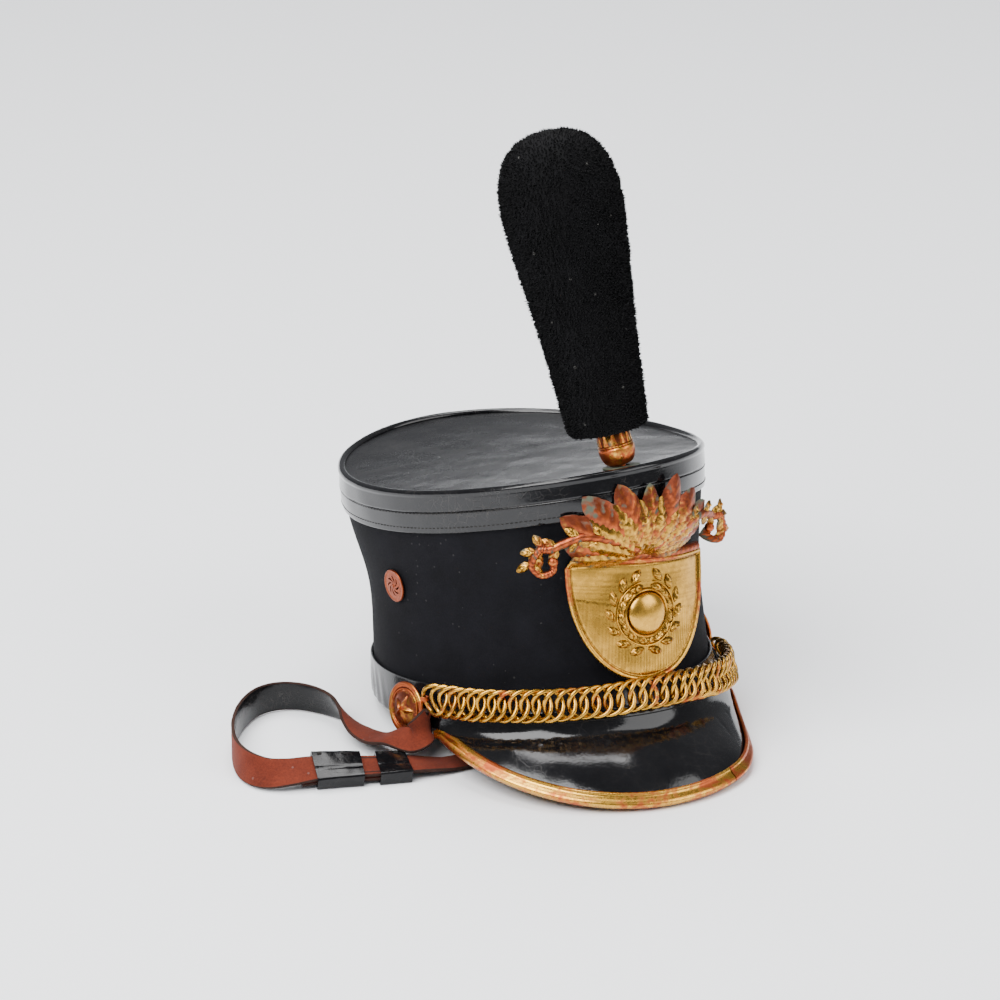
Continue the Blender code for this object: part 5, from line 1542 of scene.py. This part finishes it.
# %% [markdown]
# ## The plate
#
# The plate is stamped from thin brass sheet: a shield with a raised rim, and above it a crest, which
# is a palmette of leaves over two scrolled stalks. A laurel ring lies round a domed boss on the
# shield. Every part of it is drawn flat, and one function rolls it round the hat, so the plate's own
# place and tilt are said only once.

# %% the rolled plate
PLATE_THICKNESS = 0.0011
PLATE_RADIUS = 0.070
PLATE_TURN = math.radians(6.2)
PLATE_ROLL = math.radians(7.5)
PLATE_HEIGHT = 0.0886
PLATE_Y = -0.0974
SHIELD_WIDTH = 0.0874
SHIELD_DROP = 0.0639
SHIELD_FULLNESS = 2.2
SHIELD_FORWARD = math.radians(4.7)
SHIELD_RIM = 0.0032
CREST_FORWARD = 0.0128
CREST_BEND = 0.024
CREST_SPREAD = 0.014
CREST_LEAN = math.radians(6)
CREST_SHIFT = -0.0055


def plate_point(across, up, lift):
    """A point of the plate: place on the flat drawing and height off its back."""
    u = across * math.cos(PLATE_ROLL) + up * math.sin(PLATE_ROLL)
    v = -across * math.sin(PLATE_ROLL) + up * math.cos(PLATE_ROLL)
    beside = max(abs(across) - SHIELD_WIDTH / 2.0, 0.0)
    bend = min(max(v, 0.0) / CREST_BEND + beside / CREST_SPREAD, 1.0)
    shift = math.tan(SHIELD_FORWARD) * min(v, 0.0) - CREST_FORWARD * (1.0 - (1.0 - bend) ** 2)
    radius = PLATE_RADIUS + lift
    curled = max(-SHIELD_WIDTH / 2.0, min(SHIELD_WIDTH / 2.0, u))
    turn = curled / PLATE_RADIUS
    x = radius * math.sin(turn) + (u - curled) * math.cos(turn)
    y = PLATE_Y + PLATE_RADIUS - radius * math.cos(turn) + (u - curled) * math.sin(turn) + shift
    return Matrix.Rotation(PLATE_TURN, 3, "Z") @ Vector((x, y, PLATE_HEIGHT + v))


def shield_half_width(drop):
    share = min(1.0, drop / SHIELD_DROP)
    return SHIELD_WIDTH / 2.0 * math.sqrt(1.0 - share ** SHIELD_FULLNESS)


def shield_edge(across, drop):
    """About how far a place of the shield is from its outline."""
    x, y = abs(across) / (SHIELD_WIDTH / 2.0), min(1.0, drop / SHIELD_DROP)
    filled = x ** 2 + y ** SHIELD_FULLNESS
    down = SHIELD_FULLNESS * y ** (SHIELD_FULLNESS - 1.0) / SHIELD_DROP
    steep = math.hypot(2.0 * x / (SHIELD_WIDTH / 2.0), down)
    return min(drop, (1.0 - filled) / max(steep, 1.0))


# %% [markdown]
# ### The shield
#
# The shield's grid narrows to a point at its tip. Its rim is a half-round ridge with a fine line
# inside it. The upper part is brushed level, and the lower part has fine upright ribs, as in the
# photograph, where the boundary between them slopes.

# %% shield
BOUNDARY_DROP = 0.0255
BOUNDARY_SLOPE = 0.10
BOSS_DROP = 0.0285
BOSS_RADIUS = 0.0108
BOSS_RISE = 0.0044
LAUREL_RADIUS = 0.0166
LAUREL_LEAVES = 14


def shield_relief(across, drop):
    """Height of the shield's front over its sheet, and how bright it is: brushed streaks, with painted shade
    on the rim's sides, in the fine line and between the ribs.
    """
    edge = shield_edge(across, drop)
    if edge < SHIELD_RIM:
        round_rim = math.sin(math.pi * max(edge, 0.0) / SHIELD_RIM)
        # The rim's sides get painted shade; its crest stays bright.
        return 0.0015 * round_rim ** 0.7, 0.35 + 0.65 * round_rim
    line = math.exp(-((edge - SHIELD_RIM - 0.0005) / 0.0003) ** 2)
    lower = drop > BOUNDARY_DROP + BOUNDARY_SLOPE * across
    upright, level = (across * 900.0, 0.0, drop * 40.0), (across * 30.0, 3.0, drop * 1100.0)
    streak = noise.noise(Vector(upright if lower else level))
    if lower:
        wander = across + 0.0003 * noise.noise(Vector((across * 400.0, 0.0, 0.0)))
        rib = abs(math.sin(math.pi * wander / 0.0017)) ** 0.6
        height = 0.00014 * rib + 0.00003 * streak
        # Painted shade between the ribs; the ribbed part is also darker overall than the brushed part.
        bright = 0.62 + 0.26 * rib + 0.30 * streak
    else:
        height = 0.00003 * streak
        bright = 0.88 + 0.40 * streak
    dent = 0.0005 * noise.noise(Vector((across * 70.0, drop * 70.0, 1.0)))
    # The fine line inside the rim is darkened with painted shade.
    return height + dent - 0.0002 * line, bright - 0.7 * line


def shield_place(u, v):
    drop = SHIELD_DROP * (1.0 - (1.0 - v) ** 1.35)
    half = shield_half_width(drop)
    # Corners crowd near the sides, where the rim is.
    across = half * math.sin((u - 0.5) * math.pi * 0.82) / math.sin(0.41 * math.pi)
    return across, drop


def shield_point(u, v):
    across, drop = shield_place(u, v)
    return plate_point(across, -drop, PLATE_THICKNESS + shield_relief(across, drop)[0])


shield = wrapped("shield_grid", 210, 140, shield_point, SHIELD_WIDTH, SHIELD_DROP,
                 relief=lambda u, v: max(0.0, min(1.0, shield_relief(*shield_place(u, v))[1])))
if (HAT.inverted().to_3x3() @ shield.data.polygons[len(shield.data.polygons) // 3].normal).y > 0.0:
    shield.data.flip_normals()
apply_modifier(shield, "SOLIDIFY", thickness=PLATE_THICKNESS, offset=-1.0)
for material in (shield_brass, rim_brass):
    shield.data.materials.append(material)
flat = shield.data.uv_layers.active.uv
for face in shield.data.polygons:
    corners = [flat[index].vector for index in face.loop_indices]
    u = sum(corner.x for corner in corners) / len(corners) / SHIELD_WIDTH
    v = sum(corner.y for corner in corners) / len(corners) / SHIELD_DROP
    face.material_index = 1 if shield_edge(*shield_place(u, v)) < SHIELD_RIM else 0

# %% [markdown]
# ### Leaves, stalks and the boss
#
# One function makes each leaf: a skin over rings that open and close again, with a midrib and
# slanted barbs pressed into its top. The palmette has two layers of them, long ones behind and
# short ones between, and the laurel ring has fourteen small ones on each side.

# %% leaf and stalk makers
def relief_skin(name, rings, levels, length=1.0, width=1.0):
    """A skin over rings of points, with a relief value for each of them."""
    columns, rows = len(rings) - 1, len(rings[0]) - 1

    def relief(u, v):
        return min(1.0, levels[round(u * columns)][round(v * rows)])

    return skin(name, rings, length, width, relief=relief)


def leaf_skin(root, angle, length, width, rise, low, barbs):
    """A chased leaf from its stalk's place on the drawing. angle is from upright."""
    direction = Vector((math.sin(angle), math.cos(angle)))
    side = Vector((direction.y, -direction.x))
    across_places = [-1.0 + i / 5.0 for i in range(11)]
    steps = 26
    swell = [math.sin(math.pi * (i / steps) ** 1.05) ** 0.6 for i in range(steps)] + [0.0]
    rings, levels = [], []
    for i in range(steps + 1):
        along = i / steps
        centre = root + direction * length * along
        ring, row = [], []
        for a in across_places:
            full = (1.0 - abs(a) ** 2.2) * min(1.0, along * 5.0) * min(1.0, (1.0 - along) * 3.0)
            barb = 0.5 + 0.5 * math.cos(math.tau * (along * barbs - abs(a) * 1.1))
            rib = math.exp(-(a / 0.10) ** 2)
            lift = low + 0.0004 + full * (rise * (0.72 + 0.28 * barb) + 0.0004 * rib)
            place = centre + side * a * width / 2.0 * swell[i] * (0.94 + 0.06 * barb)
            ring.append(plate_point(place.x, place.y, lift))
            # Relief: bright on the barbs and the midrib, painted shade in the grooves between the barbs and
            # towards the leaf's edges.
            row.append(0.15 + 0.75 * full * barb + 0.4 * rib * full)
        # The leaf's underside gets the deepest painted shade.
        for a in (0.9, 0.0, -0.9):
            place = centre + side * a * width / 2.0 * swell[i]
            ring.append(plate_point(place.x, place.y, low))
            row.append(0.1)
        rings.append(ring + ring[:1])
        levels.append(row + row[:1])
    return relief_skin("leaf", rings, levels, length, width)


def stalk_skin(points, start_width, end_width, low, rise, turns=0.0):
    """A half-round stalk along places of the drawing. It may be twisted like a cord."""
    rings, levels = [], []
    last = len(points) - 1
    for i, point in enumerate(points):
        along = (points[min(i + 1, last)] - points[max(i - 1, 0)]).normalized()
        side = Vector((along.y, -along.x)) * (start_width + (end_width - start_width) * i / last) / 2.0
        ring, row = [], []
        for x, y in arc(1.0, 0, 180, 8):
            cord = 0.5 + 0.5 * math.cos(math.tau * (i / last * turns) + x * 2.0) if turns else 1.0
            place = point + side * x
            ring.append(plate_point(place.x, place.y, low + rise * (0.25 + 0.75 * y * (0.75 + 0.25 * cord))))
            # Relief: bright on the stalk's crown, painted shade down its sides and in the twists of the cord.
            row.append(0.2 + 0.8 * y * cord)
        # The stalk's foot gets deep painted shade.
        for x in (-1.0, 1.0):
            place = point + side * x
            ring.append(plate_point(place.x, place.y, low))
            row.append(0.1)
        rings.append(ring + ring[:1])
        levels.append(row + row[:1])
    return relief_skin("stalk", rings, levels)


def ball(place, radius, lift):
    clear_selection()
    bpy.ops.mesh.primitive_uv_sphere_add(segments=20, ring_count=12, radius=radius)
    berry = bpy.context.active_object
    berry.data.transform(HAT @ Matrix.Translation(plate_point(place.x, place.y, lift)))
    keep_relief(berry, [0.8] * len(berry.data.vertices))
    return berry


# %% palmette
LEAF_COLUMNS = ("angle", "length", "width")
LONG_LEAVES = (
    (0, 0.0400, 0.0130), (22, 0.0450, 0.0165), (43, 0.0500, 0.0190),
    (60, 0.0520, 0.0185), (76, 0.0440, 0.0150),
)
SHORT_LEAVES = (
    (11, 0.0330, 0.0120), (32, 0.0370, 0.0130), (52, 0.0400, 0.0140),
    (68, 0.0400, 0.0130), (86, 0.0360, 0.0110),
)
RIGHT_SHARE = 0.86


def stalk_points(side):
    """One of the crest's stalks, from its middle out to a scroll that curls down and in."""
    points = []
    for step in range(4):
        share = step / 3.0
        up = 0.005 + 0.015 * math.sin(1.95 * share) - 0.007 * share ** 3
        points.append(Vector((side * (0.004 + 0.048 * share), up)))
    centre = points[-1] + Vector((side * 0.0030, -0.0080))
    for step in range(5):
        turn = math.radians(70 - 68 * step)
        radius = 0.0080 - 0.00100 * step
        points.append(centre + Vector((side * radius * math.cos(turn), radius * math.sin(turn))))
    return points


lean = Matrix.Rotation(CREST_LEAN, 2)
shift = Vector((CREST_SHIFT, 0.0))
crest = []
for layer, (rows, low, rise) in enumerate(((LONG_LEAVES, 0.0004, 0.0034), (SHORT_LEAVES, 0.0012, 0.0036))):
    for step, row in enumerate(rows):
        leaf = dict(zip(LEAF_COLUMNS, row))
        for side in ((1,) if leaf["angle"] == 0 else (-1, 1)):
            root = Vector((side * 0.0008 * step, 0.0015)) + shift
            turn = side * math.radians(leaf["angle"]) - CREST_LEAN
            length = leaf["length"] * (RIGHT_SHARE if side > 0 and leaf["angle"] > 30 else 1.0)
            heights = rise - 0.0002 * step, low + 0.0001 * step
            crest.append(leaf_skin(root, turn, length, leaf["width"], *heights, 9.0 - layer))
            crest[-1].data.materials.append(leaf_brass if layer else crest_brass)
for side in (-1, 1):
    flat_rows = [tuple(lean @ point + shift) for point in stalk_points(side)]
    route = [Vector(curve_through(flat_rows, (len(flat_rows) - 1) * i / 70.0)) for i in range(71)]
    crest.append(stalk_skin(route, 0.0052, 0.0034, 0.0014, 0.0036, 26.0))
    crest.append(ball(lean @ stalk_points(side)[-1] + shift, 0.0026, 0.0030))
    for i in range(7):
        place = route[6 + 6 * i]
        way = route[7 + 6 * i] - place
        turn = math.atan2(way.x, way.y)
        for hand in (-1.0, 1.0):
            crest.append(leaf_skin(place, turn + hand * 0.75, 0.0095, 0.0050, 0.0016, 0.0022, 3.0))
            crest[-1].data.materials.append(leaf_brass)
base_line = [Vector((-0.0405 + 0.0810 * i / 40.0, 0.0008)) for i in range(41)]
crest.append(stalk_skin(base_line, 0.0046, 0.0046, 0.0004, 0.0026, 20.0))
print(len(crest), "pieces in the crest")

# %% laurel ring and boss
BOSS = Vector((0.0, -BOSS_DROP))
boss_rings, boss_levels = [], []
boss_outline = [
    (BOSS_RADIUS + 0.0022, 0.0), (BOSS_RADIUS + 0.0020, 0.0008),
    (BOSS_RADIUS + 0.0011, 0.0013), (BOSS_RADIUS + 0.0002, 0.0006)]
boss_outline += [(BOSS_RADIUS * x, BOSS_RISE * y) for x, y in arc(1.0, 0, 90, 14)]
for radius, lift in boss_outline:
    turns = [math.tau * i / 64 for i in range(65)]
    ring = [BOSS + Vector((math.cos(t), math.sin(t))) * radius for t in turns]
    ring = [plate_point(place.x, place.y, PLATE_THICKNESS + 0.0001 + lift) for place in ring]
    boss_rings.append(ring)
    # Painted shade at the foot of the boss and of its collar; the raised parts stay bright.
    boss_levels.append([1.0 if lift > 0.0010 else 0.25] * len(ring))
boss = relief_skin("boss", boss_rings, boss_levels)
boss.data.materials.append(shield_brass)
laurel = []
for side in (-1, 1):
    for i in range(LAUREL_LEAVES):
        swing = math.radians(188 - 12.2 * i)
        hand = 1.0 if i % 2 else -1.0
        reach = LAUREL_RADIUS + 0.0014 * hand
        centre = BOSS + Vector((side * math.sin(swing), math.cos(swing))) * reach
        turn = side * (swing - math.pi / 2.0 + 0.42 * hand)
        laurel.append(leaf_skin(centre, turn, 0.0082, 0.0044, 0.0016, PLATE_THICKNESS, 3.0))
    route = [BOSS + Vector((side * y, x)) * LAUREL_RADIUS for x, y in arc(1.0, 190, 14, 40)]
    laurel.append(stalk_skin(route, 0.0012, 0.0008, PLATE_THICKNESS, 0.0012))
for piece in crest + laurel:
    if not piece.data.materials:
        piece.data.materials.append(crest_brass if piece in crest else shield_brass)
plate = join("front_plate_brass", [shield, boss] + crest + laurel)
finish(plate, None, ("front_plate",), 45.0)

# %% [markdown]
# ## The chin strap
#
# A strap of two layers, patent leather inside and red suede outside. It leaves the left button,
# twists down to the floor, makes a loop standing on its edge, passes through two keepers and goes
# flat under the hat to the other button. A route of a few places and leans says all of this. The
# outline's own numbering tells which faces are suede, which are patent and which are cut edges.

# %% strap route
STRAP_WIDTH = 0.0160
STRAP_THICKNESS = 0.0018
KEEPER_WALL = 0.0010
STRAP_ROUTE = (
    (-0.0876, -0.0334, 0.0224, 0), (-0.0908, -0.0355, 0.0212, -6), (-0.0969, -0.0352, 0.0151, -50),
    (-0.1035, -0.0250, 0.0138, -77), (-0.1068, -0.0130, 0.0088, -88), (-0.1080, -0.0010, 0.0070, -98),
    (-0.1076, 0.0105, 0.0070, -115), (-0.1068, 0.0210, 0.0078, -138), (-0.1078, 0.0320, 0.0085, -158),
    (-0.1120, 0.0440, 0.0087, -170), (-0.1195, 0.0540, 0.0088, -176), (-0.1300, 0.0592, 0.0088, -180),
    (-0.1420, 0.0572, 0.0088, -182), (-0.1540, 0.0480, 0.0088, -182), (-0.1640, 0.0360, 0.0087, -181),
    (-0.1725, 0.0215, 0.0087, -180), (-0.1788, 0.0050, 0.0086, -176), (-0.1802, -0.0100, 0.0083, -164),
    (-0.1755, -0.0215, 0.0079, -143), (-0.1660, -0.0275, 0.0084, -126), (-0.1520, -0.0310, 0.0089, -115),
    (-0.1360, -0.0352, 0.0080, -108), (-0.1205, -0.0400, 0.0071, -102), (-0.1050, -0.0442, 0.0063, -97),
    (-0.0930, -0.0462, 0.0046, -92), (-0.0810, -0.0466, 0.0024, -90), (-0.0600, -0.0435, 0.0011, -90),
    (-0.0200, -0.0320, 0.0010, -90), (0.0200, -0.0165, 0.0010, -90), (0.0560, -0.0040, 0.0010, -90),
)
STRAP_LEFT_END = (
    (0.0090, 0.0010, -0.0031), (0.0, 0.0, -0.0031), (-0.0070, -0.0014, -0.0030), (-0.0125, -0.0026, -0.0028))
STRAP_RIGHT_END = ((0.0856, 0.0010), (0.0894, 0.0025), (0.0911, 0.0064), (0.0913, 0.0110))
STRAP_RIGHT_TOP = ((-0.0080, -0.0031), (0.0090, -0.0030))
RIGHT_EASE = (0.45, 0.75, 0.90)
ON_FLOOR = Vector((RIM.x, RIM.y, 0.0))


def strap_station(position):
    """The strap's middle, its way along and its width direction at a place on the route."""
    last = len(STRAP_ROUTE) - 1.0
    x, y, height, lean = curve_through(STRAP_ROUTE, position)
    before = Vector(curve_through(STRAP_ROUTE, max(position - 0.05, 0.0))[:3])
    along = (Vector(curve_through(STRAP_ROUTE, min(position + 0.05, last))[:3]) - before).normalized()
    left = Vector((-along.y, along.x, 0.0)).normalized()
    turn = math.radians(lean)
    across = left * math.sin(turn) + Vector((0.0, 0.0, math.cos(turn)))
    across = (across - along * across.dot(along)).normalized()
    return Vector((x, y, height)) + ON_FLOOR, along, across


# %% strap and lap
EDGE_ROUND = 0.0005
PATENT_SIDES = (7.0, 13.0)
SUEDE_SIDES = 20.0
strap_outline = flat_outline(STRAP_WIDTH, STRAP_THICKNESS, EDGE_ROUND)


def two_faced(piece, rows):
    """Suede on the strap's outer side, patent leather on the inner side, dark cut edges."""
    for material in (suede, strap_patent, cut_edge):
        piece.data.materials.append(material)
    flat = piece.data.uv_layers.active.uv
    for face in piece.data.polygons:
        level = sum(flat[index].vector.y for index in face.loop_indices) / len(face.loop_indices) * rows
        patent = PATENT_SIDES[0] < level < PATENT_SIDES[1]
        face.material_index = 1 if patent else 0 if level > SUEDE_SIDES else 2
    return piece


def strap_length(points):
    return sum((b - a).length for a, b in zip(points, points[1:]))


seats = {side: HAT @ button_frame(side) for side in (-1, 1)}
left_across = tuple(seats[-1].to_3x3() @ Vector((0.0, 1.0, 0.0)))
right_across = tuple(seats[1].to_3x3() @ Vector((-1.0, 0.0, 0.0)))
strap_rows = [
    tuple(seats[-1] @ Vector((-back, rise, depth))) + left_across for back, rise, depth in STRAP_LEFT_END]
for i in range(len(STRAP_ROUTE)):
    centre, _, across = strap_station(float(i))
    strap_rows.append(tuple(centre) + tuple(across))
right_rows = [(x + RIM.x, seats[1].translation.y, height, 0.0, -1.0, 0.0) for x, height in STRAP_RIGHT_END]
under_hat = strap_rows[-1]
for share in RIGHT_EASE:
    strap_rows.append(tuple(a + (b - a) * share for a, b in zip(under_hat, right_rows[0])))
strap_rows += right_rows
for reach, depth in STRAP_RIGHT_TOP:
    strap_rows.append(tuple(seats[1] @ Vector((0.0, reach, depth))) + right_across)
steps = 8 * (len(strap_rows) - 1)
strap_curve = [curve_through(strap_rows, (len(strap_rows) - 1) * i / steps) for i in range(steps + 1)]
strap_middle = [Vector(row[:3]) for row in strap_curve]
strap_axes = [Vector(row[3:]) for row in strap_curve]
strap = skin("chin_strap_leather", strip_rings(strap_middle, strap_axes, strap_outline),
             strap_length(strap_middle), 1.0, LEVEL)
two_faced(strap, len(strap_outline) - 1)
finish(strap, None, ("chin_strap",), 50.0)
print("strap length", round(strap_length(strap_middle), 3), "m")

LAP_START, LAP_END, LAP_STEPS = 19.5, 23.0, 40
lap_rows = [strap_station(LAP_START + (LAP_END - LAP_START) * i / LAP_STEPS) for i in range(LAP_STEPS + 1)]
behind = STRAP_THICKNESS + 3.0 * GAP
lap_middle = [centre + along.cross(across) * behind for centre, along, across in lap_rows]
lap = skin("strap_lap_leather", strip_rings(lap_middle, [row[2] for row in lap_rows], strap_outline),
           strap_length(lap_middle), 1.0, LEVEL)
two_faced(lap, len(strap_outline) - 1)
finish(lap, None, ("strap_lap",), 50.0)

# %% [markdown]
# ## The keepers
#
# Two loops of patent leather hold the strap and its lap together. Each is a sleeve: its outer skin
# runs one way, its inner skin comes back, and the grid closes on itself both ways. A seam is
# pressed into the near face, and waxed thread shows as two knots on top of it.

# %% keepers
KEEPERS = {"outer": (20.0, 21.5), "inner": (22.0, 23.0)}
INNER_WIDTH = STRAP_WIDTH + 8.0 * GAP
INNER_DEPTH = 2.0 * STRAP_THICKNESS + 7.0 * GAP


def sleeve_ring(position, grow, seamed):
    """The outline round the strap and its lap at a place on the route."""
    centre, along, across = strap_station(position)
    face = along.cross(across)
    centre = centre + face * (STRAP_THICKNESS + 3.0 * GAP) / 2.0
    ring = []
    for a, b in flat_outline(INNER_WIDTH + 2.0 * grow, INNER_DEPTH + 2.0 * grow, 0.0004 + 0.8 * grow, 4, 16):
        seam = 0.00045 * math.exp(-((a - seamed) / 0.0006) ** 2) if b < 0.0 < grow else 0.0
        puff = ripple(centre + across * a, 0.006, 0.0002) if grow > 0.0 else 0.0
        ring.append(centre + across * a + face * (b + seam + puff))
    return ring


knot_places = []
for name, (start, end) in KEEPERS.items():
    walls = [start + (end - start) * i / 24.0 for i in range(25)]
    seamed = 0.0022
    rings = [sleeve_ring(position, KEEPER_WALL, seamed) for position in walls]
    rings += [sleeve_ring(position, 0.0, seamed) for position in reversed(walls)]
    keeper = skin("keeper_leather_" + name, rings + rings[:1], 0.05, 0.04, LEVEL, ends=False)
    finish(keeper, keeper_patent, ("keeper_" + name,), 60.0)
    for share in (0.16, 0.66):
        centre, along, across = strap_station(start + (end - start) * share)
        face = along.cross(across)
        out = STRAP_THICKNESS / 2.0 + 2.0 * GAP + KEEPER_WALL
        top = centre - face * out - across * (INNER_WIDTH / 2.0 - 0.0012)
        seat = frame_at(top, along, across, face)
        knot_places.append(seat @ Matrix.Diagonal((1.3, 3.0, 3.2, 1.0)))
sew("keeper_knots", knot_places)

LAP_STITCHES = 26
lap_places = []
for i in range(LAP_STITCHES):
    centre, along, across = strap_station(21.45 + 1.5 * i / (LAP_STITCHES - 1))
    face = along.cross(across)
    for edge in (-0.0058, 0.0058):
        place = centre + across * edge - face * STRAP_THICKNESS / 2.0
        lap_places.append(frame_at(place, along, across, face))
sew("lap_stitches", lap_places)

# %% [markdown]
# ## Stitches of the crown band
#
# Two rows of saddle stitches go round the band: one under the fold and one near its lower edge.
# Each stitch has only 24 faces, and all of them are one mesh.

# %% band stitches
BAND_STITCHES = 250
band_places = []
for height in (STEP_HEIGHT - 0.0006, CROWN_LOW + 0.0030):
    for i in range(BAND_STITCHES):
        band_places.append(HAT @ wall_frame(math.tau * i / BAND_STITCHES, height, BAND_OUT + 0.00005))
sew("band_stitches", band_places)
